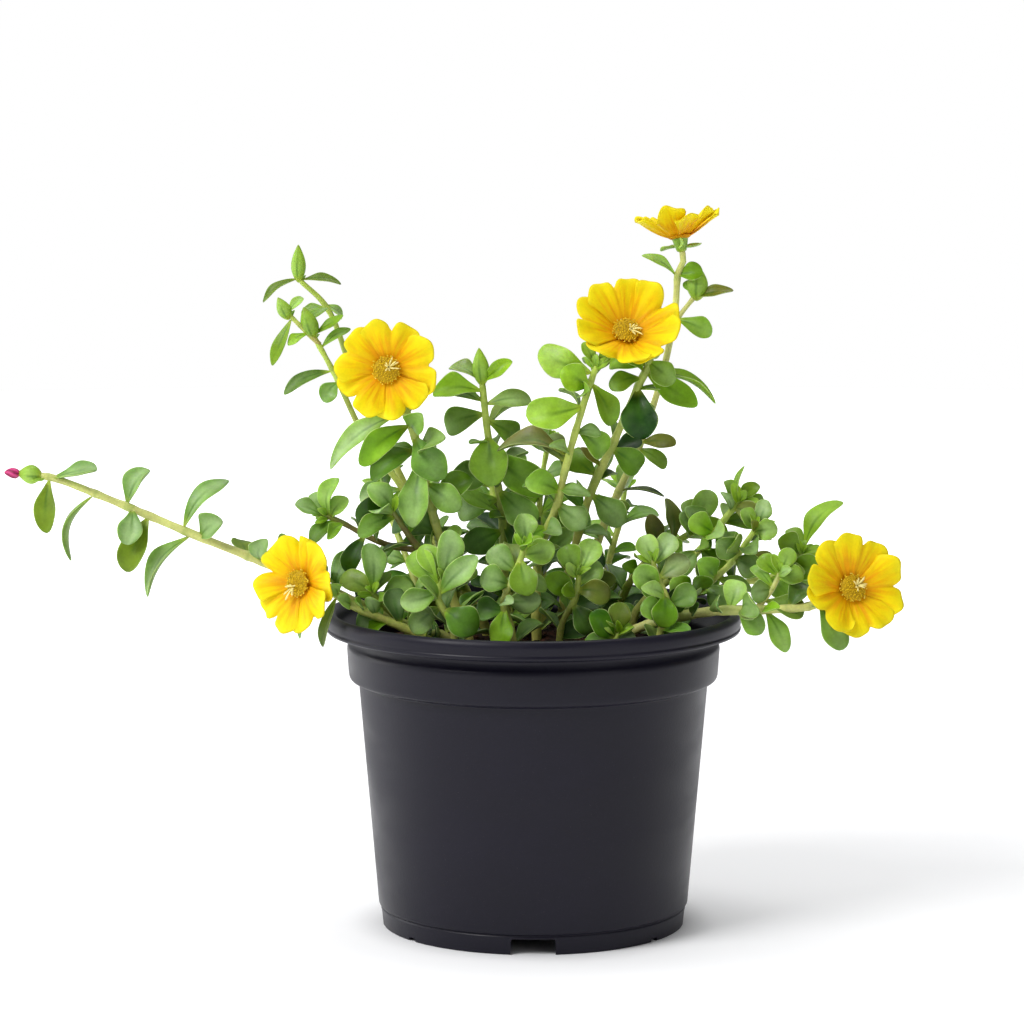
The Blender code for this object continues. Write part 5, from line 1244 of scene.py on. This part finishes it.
def fine_pot_profile():
    """The moulded wall: foot line, body, stepped collar, ridge and rolled rim."""
    body_lean = (BODY_TOP_RADIUS - BODY_FOOT_RADIUS) / (COLLAR_BOTTOM - FOOT_HEIGHT)
    outer = [
        (0, 0, 0), (CENTRE_PAD_RADIUS, 0, 0.5), (CENTRE_PAD_RADIUS + 0.5, FLOOR_BOTTOM, 0.8),
        (FOOT_RADIUS - 2.2, FLOOR_BOTTOM, 0.8), (FOOT_RADIUS - 1.7, 0, 0.4), (FOOT_RADIUS - 0.3, 0, 0.5),
        (FOOT_RADIUS + 0.25, FOOT_HEIGHT - 0.5, 0.3), (FOOT_RADIUS - 0.05, FOOT_HEIGHT - 0.15, 0.15),
        (FOOT_RADIUS + 0.1, FOOT_HEIGHT + 0.15, 0.2), (BODY_FOOT_RADIUS, FOOT_HEIGHT + 0.7, 0.5),
        (BODY_FOOT_RADIUS + 30 * body_lean, FOOT_HEIGHT + 30, 0),
        (BODY_TOP_RADIUS, COLLAR_BOTTOM - 1.0, 0.5), (BODY_TOP_RADIUS + 2.6, COLLAR_BOTTOM - 0.2, 0.9),
        (COLLAR_RADIUS - 0.9, COLLAR_BOTTOM + 1.0, 1.6), (COLLAR_RADIUS - 0.3, COLLAR_TOP - 1.8, 1.2),
        (COLLAR_RADIUS - 1.4, COLLAR_TOP - 0.3, 1.0), (COLLAR_RADIUS - 1.6, RIM_BOTTOM - 1.4, 0.8),
        (COLLAR_RADIUS - 0.2, RIM_BOTTOM - 0.5, 0.8), (RIM_RADIUS - 1.9, RIM_BOTTOM, 0.8),
        (RIM_RADIUS - 0.5, RIM_BOTTOM + 0.1, 0.5), (RIM_RADIUS - 0.1, RIM_BOTTOM + 0.9, 0.4),
        (RIM_RADIUS - 0.5, RIM_BOTTOM + 1.6, 0.3), (RIM_RADIUS - 0.15, RIM_BOTTOM + 2.6, 0.8),
        (RIM_RADIUS, RIM_TOP - 1.6, 1.2), (RIM_RADIUS - 1.0, RIM_TOP, 1.1),
        (RIM_RADIUS - 3.0, RIM_TOP - 0.3, 1.2),
    ]
    inner = [
        (RIM_RADIUS - 4.0, RIM_TOP - 2.4, 0.8), (RIM_RADIUS - 4.6, RIM_BOTTOM + 1.4, 1.0),
        (COLLAR_RADIUS - WALL - 0.5, COLLAR_TOP + 1.2, 1.0),
        (COLLAR_RADIUS - WALL - 0.8, COLLAR_BOTTOM + 2.6, 0.8),
        (BODY_TOP_RADIUS - WALL, COLLAR_BOTTOM + 1.0, 0.8),
        (BODY_FOOT_RADIUS - WALL, FLOOR_TOP + 1.5, 0.8), (BODY_FOOT_RADIUS - WALL - 1.5, FLOOR_TOP, 0.8),
        (0, FLOOR_TOP, 0),
    ]
    return rounded_profile(outer + inner)


def dress_pot(looks):
    bm = bmesh.new()
    add_turned(bm, fine_pot_profile(), POT_TURNS)
    bmesh.ops.recalc_face_normals(bm, faces=bm.faces)
    piece = finish_piece("pot_shell", bm, "pot", looks["plastic"])
    cutters = bpy.data.collections.new("pot_cutters")
    bpy.context.scene.collection.children.link(cutters)
    gaps = [(360 * i / NOTCH_COUNT, NOTCH_WIDTH, NOTCH_HEIGHT) for i in range(NOTCH_COUNT)]
    for angle in (SLOT_ANGLE, 180 - SLOT_ANGLE, 180 + SLOT_ANGLE, 360 - SLOT_ANGLE):
        gaps.append((angle, SLOT_WIDTH, SLOT_HEIGHT))
    for angle, width, height in gaps:
        bm = bmesh.new()
        bmesh.ops.create_cube(bm, size=1.0)
        bmesh.ops.scale(bm, vec=(width, 10.0, 2 * height), verts=bm.verts)
        bmesh.ops.bevel(bm, geom=[e for e in bm.edges if abs(e.verts[0].co.y - e.verts[1].co.y) > 1],
                        offset=min(0.9, 0.4 * height), affect="EDGES", segments=4, profile=0.5, material=-1)
        turn = Matrix.Rotation(math.radians(angle), 4, "Z")
        bmesh.ops.transform(bm, matrix=turn @ Matrix.Translation((0, -FOOT_RADIUS, 0)), verts=bm.verts)
        add_cutter(bm, cutters)
    for i in range(DRAIN_COUNT):
        bm = bmesh.new()
        angle = 2 * math.pi * (i + 0.5) / DRAIN_COUNT
        place = Matrix.Translation(polar(DRAIN_RING, angle, FLOOR_TOP))
        bmesh.ops.create_cone(bm, cap_ends=True, segments=32, radius1=DRAIN_RADIUS, radius2=DRAIN_RADIUS,
                              depth=2 * FLOOR_TOP, matrix=place)
        add_cutter(bm, cutters)
    cut_away(piece, cutters)
    piece.data.set_sharp_from_angle(angle=math.radians(50))


def add_cutter(bm, cutters):
    bmesh.ops.scale(bm, vec=(MM, MM, MM), verts=bm.verts)
    bmesh.ops.recalc_face_normals(bm, faces=bm.faces)
    cutters.objects.link(bpy.data.objects.new("cutter", mesh_of("cutter", bm)))


def soil_height(x, y):
    """Height of the peat's surface: the heap's own lumps with finer clods over them."""
    fade, heap = soil_heap(x, y)
    clods = 1.1 * noise.noise(Vector((x, y, 4)) * 0.33) + 0.7 * abs(noise.noise(Vector((x, y, 9)) * 0.8))
    crumb = 0.4 * noise.noise(Vector((x, y, 2)) * 2.1)
    return SOIL_AT_WALL + heap + (clods + crumb) * min(1.0, 3 * max(0, fade) + 0.25)


def add_crumb(bm, layers, place, size, draw, kind):
    """A broken grain of peat, bark or perlite."""
    made = bmesh.ops.create_icosphere(bm, subdivisions=1, radius=1.0)
    stretch = Vector((draw.uniform(0.6, 1.5), draw.uniform(0.6, 1.2), draw.uniform(0.35, 0.9)))
    turn = Matrix.Rotation(draw.uniform(0, 6.3), 3, "Z") @ Matrix.Rotation(draw.uniform(-0.7, 0.7), 3, "X")
    for vert in made["verts"]:
        jag = draw.uniform(0.75, 1.2)
        vert.co = place + turn @ Vector([a * b * size * jag for a, b in zip(vert.co, stretch)])
        mark(vert, layers, kind=kind)


def dress_soil(looks):
    bm = bmesh.new()
    layers = float_layers(bm, "kind")
    add_turned(bm, soil_profile()[:-SOIL_RINGS] + soil_rings(SOIL_FINE_RINGS), SOIL_TURNS)
    bmesh.ops.recalc_face_normals(bm, faces=bm.faces)
    for vert in bm.verts:
        if vert.co.z > SOIL_TOP - 2:
            vert.co.z = soil_height(vert.co.x, vert.co.y)
    draw = random.Random(CRUMBS_SEED)
    for i in range(CRUMBS):
        angle = i * GOLDEN_ANGLE
        radius = (SOIL_EDGE - 1.5) * math.sqrt((i + 0.5) / CRUMBS)
        x = radius * math.cos(angle) + draw.uniform(-1, 1)
        y = radius * math.sin(angle) + draw.uniform(-1, 1)
        pale = draw.random()
        kind = 1.0 if pale > 0.94 else draw.uniform(0.1, 0.75)
        size = draw.uniform(0.35, 0.8) if kind == 1.0 else draw.uniform(0.4, 1.5)
        add_crumb(bm, layers, Vector((x, y, soil_height(x, y) + 0.15 * size)), size, draw, kind)
    finish_piece("soil_surface", bm, "soil", looks["soil"])


# Looks

def new_look(name, roughness, shine=0.5):
    made = bpy.data.materials.new(name)
    made.use_nodes = True
    shader = made.node_tree.nodes["Principled BSDF"]
    shader.inputs["Roughness"].default_value = roughness
    shader.inputs["Specular IOR Level"].default_value = shine
    return made, made.node_tree, shader


def add_node(tree, kind, **values):
    node = tree.nodes.new(kind)
    for name, value in values.items():
        if hasattr(node, name):
            setattr(node, name, value)
        else:
            node.inputs[name.replace("_", " ")].default_value = value
    return node


def join(tree, source, target):
    tree.links.new(source, target)


def attribute(tree, name):
    return add_node(tree, "ShaderNodeAttribute", attribute_name=name).outputs["Fac"]


def math_node(tree, operation, first, second=None, clamp=False):
    node = add_node(tree, "ShaderNodeMath", operation=operation, use_clamp=clamp)
    for socket, value in zip(node.inputs, (first, second)):
        if isinstance(value, bpy.types.NodeSocket):
            join(tree, value, socket)
        elif value is not None:
            socket.default_value = value
    return node.outputs[0]


def times(tree, first, second):
    return math_node(tree, "MULTIPLY", first, second)


def plus(tree, first, second):
    return math_node(tree, "ADD", first, second)


def band(tree, value, low, high, to_low=0.0, to_high=1.0):
    """Runs a value smoothly from one number to another between two levels."""
    node = add_node(tree, "ShaderNodeMapRange", interpolation_type="SMOOTHSTEP")
    join(tree, value, node.inputs["Value"])
    for name, number in (("From Min", low), ("From Max", high), ("To Min", to_low), ("To Max", to_high)):
        node.inputs[name].default_value = number
    return node.outputs["Result"]


def blend_colour(tree, mask, first, second):
    """The first colour where the mask is 0 and the second where it is 1."""
    node = add_node(tree, "ShaderNodeMix", data_type="RGBA")
    join(tree, mask, node.inputs[0])
    for socket, value in zip(node.inputs[6:8], (first, second)):
        if isinstance(value, bpy.types.NodeSocket):
            join(tree, value, socket)
        else:
            socket.default_value = (*value, 1.0)
    return node.outputs[2]


def colour_ramp(tree, value, stops):
    node = add_node(tree, "ShaderNodeValToRGB")
    join(tree, value, node.inputs[0])
    ramp = node.color_ramp
    while len(ramp.elements) < len(stops):
        ramp.elements.new(0.5)
    for element, (place, colour) in zip(ramp.elements, stops):
        element.position = place
        element.color = (*colour, 1.0)
    return node.outputs[0]


def object_noise(tree, scale, detail=3.0, stretch=None):
    place = add_node(tree, "ShaderNodeTexCoord").outputs["Object"]
    if stretch:
        mapping = add_node(tree, "ShaderNodeMapping")
        mapping.inputs["Scale"].default_value = stretch
        join(tree, place, mapping.inputs["Vector"])
        place = mapping.outputs[0]
    node = add_node(tree, "ShaderNodeTexNoise", Scale=scale, Detail=detail)
    join(tree, place, node.inputs["Vector"])
    return node.outputs["Fac"]


def mottle_group():
    """Uneven light and dark patches over a colour, in broad and fine sizes."""
    group = bpy.data.node_groups.new("mottle", "ShaderNodeTree")
    interface = group.interface
    interface.new_socket(name="Colour", in_out="INPUT", socket_type="NodeSocketColor")
    for name, value in (("Broad Size", 60.0), ("Fine Size", 700.0), ("Spread", 0.3)):
        interface.new_socket(name=name, in_out="INPUT", socket_type="NodeSocketFloat").default_value = value
    interface.new_socket(name="Colour", in_out="OUTPUT", socket_type="NodeSocketColor")
    interface.new_socket(name="Patches", in_out="OUTPUT", socket_type="NodeSocketFloat")
    given = group.nodes.new("NodeGroupInput").outputs
    out = group.nodes.new("NodeGroupOutput").inputs
    place = add_node(group, "ShaderNodeTexCoord").outputs["Object"]
    values = []
    for size in ("Broad Size", "Fine Size"):
        texture = add_node(group, "ShaderNodeTexNoise", Detail=3.0)
        join(group, place, texture.inputs["Vector"])
        join(group, given[size], texture.inputs["Scale"])
        values.append(texture.outputs["Fac"])
    both = plus(group, times(group, values[0], 0.65), times(group, values[1], 0.35))
    centred = times(group, math_node(group, "SUBTRACT", both, 0.5), given["Spread"])
    level = plus(group, times(group, centred, 4.0), 1.0)
    scale = add_node(group, "ShaderNodeVectorMath", operation="SCALE")
    join(group, given["Colour"], scale.inputs[0])
    join(group, level, scale.inputs["Scale"])
    join(group, scale.outputs[0], out["Colour"])
    join(group, both, out["Patches"])
    return group


def mottled(tree, group, colour, broad, fine, spread):
    node = tree.nodes.new("ShaderNodeGroup")
    node.node_tree = group
    node.inputs["Broad Size"].default_value = broad
    node.inputs["Fine Size"].default_value = fine
    node.inputs["Spread"].default_value = spread
    if isinstance(colour, bpy.types.NodeSocket):
        join(tree, colour, node.inputs["Colour"])
    else:
        node.inputs["Colour"].default_value = (*colour, 1.0)
    return node.outputs["Colour"], node.outputs["Patches"]


def spread_colour(tree, shader, mottle, colour, mottling, dullness, pattern=None):
    """Gives the shader a mottled colour, and a roughness that follows its patches or a pattern."""
    colour, patches = mottled(tree, mottle, colour, *mottling)
    join(tree, colour, shader.inputs["Base Color"])
    rough = band(tree, patches if pattern is None else pattern, 0.3, 0.7, *dullness)
    join(tree, rough, shader.inputs["Roughness"])
    return patches


def relief(tree, shader, height, depth, strength=1.0):
    """Bump from a height, its depth in metres."""
    node = add_node(tree, "ShaderNodeBump", Strength=strength, Distance=depth)
    join(tree, height, node.inputs["Height"])
    join(tree, node.outputs[0], shader.inputs["Normal"])


def let_light_in(shader, weight, depth, radius):
    shader.inputs["Subsurface Weight"].default_value = weight
    shader.inputs["Subsurface Scale"].default_value = depth
    shader.inputs["Subsurface Radius"].default_value = radius


def leaf_look(mottle):
    made, tree, shader = new_look("purslane_leaf", 0.38, 0.24)
    across = math_node(tree, "ABSOLUTE", attribute(tree, "across"))
    along = attribute(tree, "along")
    upper = attribute(tree, "upper")
    drift = math_node(tree, "SUBTRACT", object_noise(tree, 95.0, 2.0), 0.5)
    tone = plus(tree, attribute(tree, "tone"), times(tree, drift, 0.9))
    colour = colour_ramp(tree, tone, [(0.0, (0.009, 0.052, 0.001)), (0.3, (0.042, 0.150, 0.001)),
                                      (0.6, (0.118, 0.305, 0.004)), (0.85, (0.235, 0.465, 0.020)),
                                      (1.0, (0.33, 0.57, 0.080))])
    young = times(tree, attribute(tree, "young"), 0.62)
    colour = blend_colour(tree, young, colour, (0.32, 0.52, 0.020))
    warm = times(tree, attribute(tree, "warm"), band(tree, drift, -0.25, 0.1, 0.35, 0.85))
    colour = blend_colour(tree, warm, colour, (0.17, 0.115, 0.018))
    frost = times(tree, band(tree, across, 1.0, 0.2, 0.35, 1.0), band(tree, along, 0.1, 0.5, 0.25, 1.0))
    paleness = plus(tree, attribute(tree, "pale"), times(tree, drift, 0.4))
    frost = math_node(tree, "MULTIPLY", frost, paleness, True)
    colour = blend_colour(tree, times(tree, frost, 0.85), colour, (0.38, 0.54, 0.235))
    # Painted shade: darker green along the midrib groove
    groove = times(tree, band(tree, across, 0.22, 0.0), band(tree, along, 0.85, 0.3))
    colour = blend_colour(tree, times(tree, groove, 0.6), colour, (0.035, 0.125, 0.005))
    under = times(tree, band(tree, upper, 0.5, 0.1), 0.40)
    colour = blend_colour(tree, under, colour, (0.27, 0.40, 0.10))
    # Painted highlight: a pale line along the leaf's margin where its thick edge catches the light
    margin_highlight = times(tree, band(tree, across, 0.86, 0.98), band(tree, along, 0.1, 0.35, 0.3, 0.85))
    colour = blend_colour(tree, margin_highlight, colour, (0.52, 0.66, 0.24))
    neck = band(tree, along, 0.26, 0.0, 0.0, 0.8)
    colour = blend_colour(tree, neck, colour, (0.42, 0.50, 0.06))
    spread_colour(tree, shader, mottle, colour, (220.0, 1300.0, 0.28), (0.30, 0.50))
    relief(tree, shader, object_noise(tree, 1300.0, 3.0), 0.00008, 0.8)
    let_light_in(shader, 0.10, 0.0018, (0.45, 1.0, 0.05))
    return made


def stalk_look(mottle):
    made, tree, shader = new_look("purslane_stalk", 0.42, 0.35)
    along = attribute(tree, "along")
    swell = attribute(tree, "swell")
    brown = attribute(tree, "brown")
    colour = colour_ramp(tree, along, [(0.0, (0.46, 0.40, 0.11)), (0.25, (0.50, 0.52, 0.12)),
                                       (0.7, (0.52, 0.60, 0.13)), (1.0, (0.42, 0.57, 0.08))])
    colour = blend_colour(tree, band(tree, brown, 0.0, -0.8, 0.0, 0.75), colour, (0.60, 0.60, 0.21))
    streak = object_noise(tree, 90.0, 3.0, (1.0, 1.0, 0.25))
    colour = blend_colour(tree, band(tree, streak, 0.55, 0.78, 0.0, 0.45), colour, (0.32, 0.25, 0.07))
    colour = blend_colour(tree, band(tree, brown, 0.1, 1.0, 0.0, 0.85), colour, (0.13, 0.085, 0.030))
    joint = times(tree, band(tree, swell, 0.6, 1.0), 0.4)
    colour = blend_colour(tree, joint, colour, (0.22, 0.34, 0.04))
    spread_colour(tree, shader, mottle, colour, (140.0, 1500.0, 0.3), (0.32, 0.5))
    relief(tree, shader, object_noise(tree, 1400.0, 2.0), 0.0001, 0.6)
    let_light_in(shader, 0.12, 0.002, (0.6, 1.0, 0.2))
    return made


def petal_look(mottle):
    made, tree, shader = new_look("yellow_petal", 0.55, 0.12)
    out = attribute(tree, "out")
    across = attribute(tree, "across")
    shade = attribute(tree, "shade")
    colour = colour_ramp(tree, out, [(0.0, (0.50, 0.25, 0.003)), (0.25, (0.78, 0.39, 0.001)),
                                     (0.6, (0.86, 0.60, 0.001)), (1.0, (0.87, 0.73, 0.006))])
    place = add_node(tree, "ShaderNodeCombineXYZ")
    join(tree, times(tree, across, 5.0), place.inputs[0])
    join(tree, times(tree, out, 1.2), place.inputs[1])
    join(tree, times(tree, shade, 40.0), place.inputs[2])
    rays = add_node(tree, "ShaderNodeTexNoise", Scale=1.3, Detail=4.0)
    join(tree, place.outputs[0], rays.inputs["Vector"])
    # Partly the petal's own veins and partly painted shade: darker orange streaks along its small radial
    # folds, which the same noise raises in the bump
    veins_and_fold_shade = band(tree, rays.outputs["Fac"], 0.42, 0.64)
    deep = times(tree, veins_and_fold_shade, band(tree, out, 1.0, 0.3, 0.12, 0.85))
    colour = blend_colour(tree, deep, colour, (0.78, 0.31, 0.001))
    # Painted shade: deeper orange along the crease down the petal's middle
    fold = times(tree, band(tree, math_node(tree, "ABSOLUTE", across), 0.16, 0.0), 0.5)
    colour = blend_colour(tree, fold, colour, (0.72, 0.31, 0.001))
    edge = band(tree, out, 0.86, 0.97, 0.0, 0.35)
    colour = blend_colour(tree, edge, colour, (0.88, 0.76, 0.02))
    # Painted shade: a thin darker orange line along the petal's margin
    margin_shade = band(tree, out, 0.965, 1.0, 0.0, 0.28)
    colour = blend_colour(tree, margin_shade, colour, (0.60, 0.34, 0.002))
    spread_colour(tree, shader, mottle, colour, (240.0, 1500.0, 0.12), (0.48, 0.64))
    relief(tree, shader, rays.outputs["Fac"], 0.0003, 0.6)
    let_light_in(shader, 0.15, 0.002, (1.0, 0.7, 0.05))
    return made


def stamen_look(mottle):
    made, tree, shader = new_look("golden_stamens", 0.55, 0.2)
    kind = attribute(tree, "kind")
    colour = colour_ramp(tree, kind, [(0.0, (0.50, 0.31, 0.004)), (0.35, (0.64, 0.42, 0.008)),
                                      (0.65, (0.80, 0.57, 0.015)), (0.9, (0.88, 0.70, 0.08)),
                                      (1.0, (0.91, 0.79, 0.30))])
    patches = spread_colour(tree, shader, mottle, colour, (900.0, 4000.0, 0.25), (0.5, 0.7))
    relief(tree, shader, patches, 0.0001, 0.6)
    return made


def bud_tip_look(mottle):
    made, tree, shader = new_look("magenta_bud", 0.45)
    folds = attribute(tree, "round")
    colour = colour_ramp(tree, folds, [(0.0, (0.20, 0.003, 0.05)), (0.5, (0.46, 0.012, 0.12)),
                                       (1.0, (0.62, 0.05, 0.22))])
    patches = spread_colour(tree, shader, mottle, colour, (600.0, 3000.0, 0.2), (0.38, 0.55))
    relief(tree, shader, patches, 0.0001, 0.5)
    let_light_in(shader, 0.2, 0.001, (1.0, 0.2, 0.3))
    return made


def plastic_look(mottle):
    made, tree, shader = new_look("black_pot_plastic", 0.4, 0.22)
    scuff = object_noise(tree, 26.0, 6.0, (1.0, 1.0, 2.2))
    worn = band(tree, scuff, 0.4, 0.75, 0.0, 0.5)
    base = blend_colour(tree, worn, (0.0062, 0.0055, 0.0125), (0.0098, 0.0088, 0.0180))
    dust = times(tree, band(tree, object_noise(tree, 2600.0, 2.0), 0.66, 0.80), 0.22)
    base = blend_colour(tree, dust, base, (0.08, 0.076, 0.088))
    spread_colour(tree, shader, mottle, base, (30.0, 900.0, 0.12), (0.32, 0.46), scuff)
    relief(tree, shader, object_noise(tree, 1500.0, 3.0), 0.00005, 0.5)
    return made


def soil_look(mottle):
    made, tree, shader = new_look("dark_peat", 0.9, 0.2)
    kind = attribute(tree, "kind")
    clods = object_noise(tree, 420.0, 5.0)
    ground = colour_ramp(tree, clods, [(0.3, (0.010, 0.005, 0.004)), (0.5, (0.030, 0.014, 0.009)),
                                       (0.7, (0.075, 0.028, 0.016))])
    grain = colour_ramp(tree, kind, [(0.1, (0.012, 0.007, 0.005)), (0.45, (0.060, 0.026, 0.014)),
                                     (0.8, (0.13, 0.060, 0.030)), (1.0, (0.62, 0.58, 0.52))])
    colour = blend_colour(tree, band(tree, kind, 0.02, 0.1), ground, grain)
    spread_colour(tree, shader, mottle, colour, (300.0, 2200.0, 0.4), (0.8, 0.98))
    relief(tree, shader, object_noise(tree, 900.0, 6.0), 0.0006, 0.8)
    return made


# Studio, in metres: each lamp has its place, width and power
LAMPS = {
    "key_light": ((-1.15, -0.95, 1.4), 0.9, 25.0),
    "top_light": ((0.1, 0.25, 1.6), 0.9, 7.5),
    "left_light": ((-1.25, 0.4, 0.45), 0.9, 4.8),
    "front_right_light": ((1.1, -1.2, 0.6), 0.8, 2.5),
}
LAMP_AIM = Vector((0.0, 0.0, 0.12))
FLOOR_RADIUS = 1.8
BRIGHT_WALL = (-0.72, 0.38, 0.58)
CAMERA_PLACE = (0.0, -1.233, 0.2847)
CAMERA_LENS = 140.24
CAMERA_DOWN = 7.16
CAMERA_LEFT = 0.31


def build_floor():
    """A white table that glows a little from just outside the pot's foot, painted light that lifts the
    shadows cast on it, and more further out, as a lit backdrop does.
    """
    bm = bmesh.new()
    bmesh.ops.create_circle(bm, cap_ends=True, segments=96, radius=FLOOR_RADIUS)
    mesh = mesh_of("floor", bm)
    floor = bpy.data.objects.new("floor", mesh)
    bpy.context.scene.collection.objects.link(floor)
    made, tree, shader = new_look("white_floor", 0.7, 0.1)
    paper = object_noise(tree, 3.0, 2.0)
    join(tree, blend_colour(tree, paper, (0.90, 0.90, 0.91), (0.93, 0.93, 0.94)), shader.inputs["Base Color"])
    far = add_node(tree, "ShaderNodeVectorMath", operation="LENGTH")
    join(tree, add_node(tree, "ShaderNodeTexCoord").outputs["Object"], far.inputs[0])
    # Painted light: emission from just outside the pot's foot lifts the shadows cast on the floor
    near_glow = band(tree, far.outputs["Value"], 0.044, 0.060, 0.0, 0.22)
    far_glow = band(tree, far.outputs["Value"], 0.35, 1.0, 0.0, 0.7)
    join(tree, plus(tree, near_glow, far_glow), shader.inputs["Emission Strength"])
    shader.inputs["Emission Color"].default_value = (1.0, 1.0, 1.0, 1.0)
    mesh.materials.append(made)


def build_lights():
    scene = bpy.context.scene
    world = bpy.data.worlds.new("white_room")
    scene.world = world
    world.use_nodes = True
    tree = world.node_tree
    room = tree.nodes["Background"]
    room.inputs["Color"].default_value = (0.97, 0.98, 1.0, 1.0)
    way = add_node(tree, "ShaderNodeVectorMath", operation="DOT_PRODUCT")
    join(tree, add_node(tree, "ShaderNodeTexCoord").outputs["Generated"], way.inputs[0])
    way.inputs[1].default_value = BRIGHT_WALL
    join(tree, band(tree, way.outputs["Value"], -0.7, 0.8, 0.12, 0.50), room.inputs["Strength"])
    backdrop = add_node(tree, "ShaderNodeBackground", Strength=1.0)
    backdrop.inputs["Color"].default_value = (1.0, 1.0, 1.0, 1.0)
    seen = add_node(tree, "ShaderNodeLightPath").outputs["Is Camera Ray"]
    mix = add_node(tree, "ShaderNodeMixShader")
    join(tree, seen, mix.inputs[0])
    join(tree, room.outputs[0], mix.inputs[1])
    join(tree, backdrop.outputs[0], mix.inputs[2])
    join(tree, mix.outputs[0], tree.nodes["World Output"].inputs["Surface"])
    for name, (place, size, power) in LAMPS.items():
        light = bpy.data.lights.new(name, "AREA")
        light.shape = "DISK"
        light.size = size
        light.energy = power
        lamp = bpy.data.objects.new(name, light)
        lamp.location = place
        lamp.rotation_euler = (LAMP_AIM - Vector(place)).to_track_quat("-Z", "Y").to_euler()
        scene.collection.objects.link(lamp)
    scene.view_settings.view_transform = "Standard"


def build_camera():
    camera = bpy.data.cameras.new("camera")
    camera.sensor_width = 36.0
    camera.lens = CAMERA_LENS
    viewer = bpy.data.objects.new("camera", camera)
    viewer.location = CAMERA_PLACE
    viewer.rotation_euler = (math.radians(90 - CAMERA_DOWN), 0.0, math.radians(CAMERA_LEFT))
    bpy.context.scene.collection.objects.link(viewer)
    bpy.context.scene.camera = viewer


def lay_scene_leaves(layout, lines):
    """More leaves along every stem and branch wherever there is still room."""
    for stem in STEMS:
        draw = random.Random(stem.fill.seed + MORE_LEAVES_SEED)
        for path, _ in lines[stem.name]:
            reach = sum((b - a).length for a, b in zip(path, path[1:]))
            count = round(reach / MORE_LEAVES_EVERY)
            for i in range(count):
                root, along = path_point(path, 0.08 + 0.9 * (i + 0.5) / count)
                bare = stem.name in BARE_STEMS and root.z > BARE_ABOVE
                if bare or root.z < LOWEST_LEAF - 2 or abs(root.x) > MORE_LEAVES_REACH:
                    continue
                round_angle = i * GOLDEN_ANGLE + draw.uniform(0, 1)
                length = draw.uniform(*MORE_LEAVES_LENGTH)
                width = length * draw.uniform(*MORE_LEAVES_SLIMNESS)
                for attempt in range(FILL_TRIES):
                    angle = round_angle + attempt * FILL_TURN
                    out = square_to(polar(1, angle, draw.uniform(-0.1, 0.3)), along)
                    way = (out + along * draw.uniform(0.2, 0.6)).normalized()
                    shrink = 1 - MORE_LEAVES_SHRINK * attempt
                    leaf = Leaf(root, root + way * length * shrink, width * shrink, draw.uniform(20, 75))
                    leaf.looseness = 1.0
                    in_gap = leaf.tip.y < 0 and leaf.tip.x < OPEN_FRONT_END
                    lowest = OPEN_FRONT if in_gap else LOWEST_LEAF
                    if leaf.tip.z > lowest and layout.has_room(stem.name, leaf):
                        layout.put(stem.name, leaf)
                        break


def dress_all():
    mottle = mottle_group()
    looks = {
        "leaf": leaf_look(mottle), "stalk": stalk_look(mottle), "petal": petal_look(mottle),
        "stamen": stamen_look(mottle), "bud_tip": bud_tip_look(mottle), "plastic": plastic_look(mottle),
        "soil": soil_look(mottle),
    }
    layout, lines = lay_out_plant()
    lay_scene_leaves(layout, lines)
    shades = shade_on([leaf for stem in STEMS for leaf in layout.leaves[stem.name]])
    for stem in STEMS:
        dress_stem(stem, lines[stem.name], layout.leaves[stem.name], shades, looks)
    for bloom in BLOOMS:
        dress_bloom(bloom, looks)
    dress_bud_tip(looks)
    dress_pot(looks)
    dress_soil(looks)


dress_all()
build_floor()
build_lights()
build_camera()
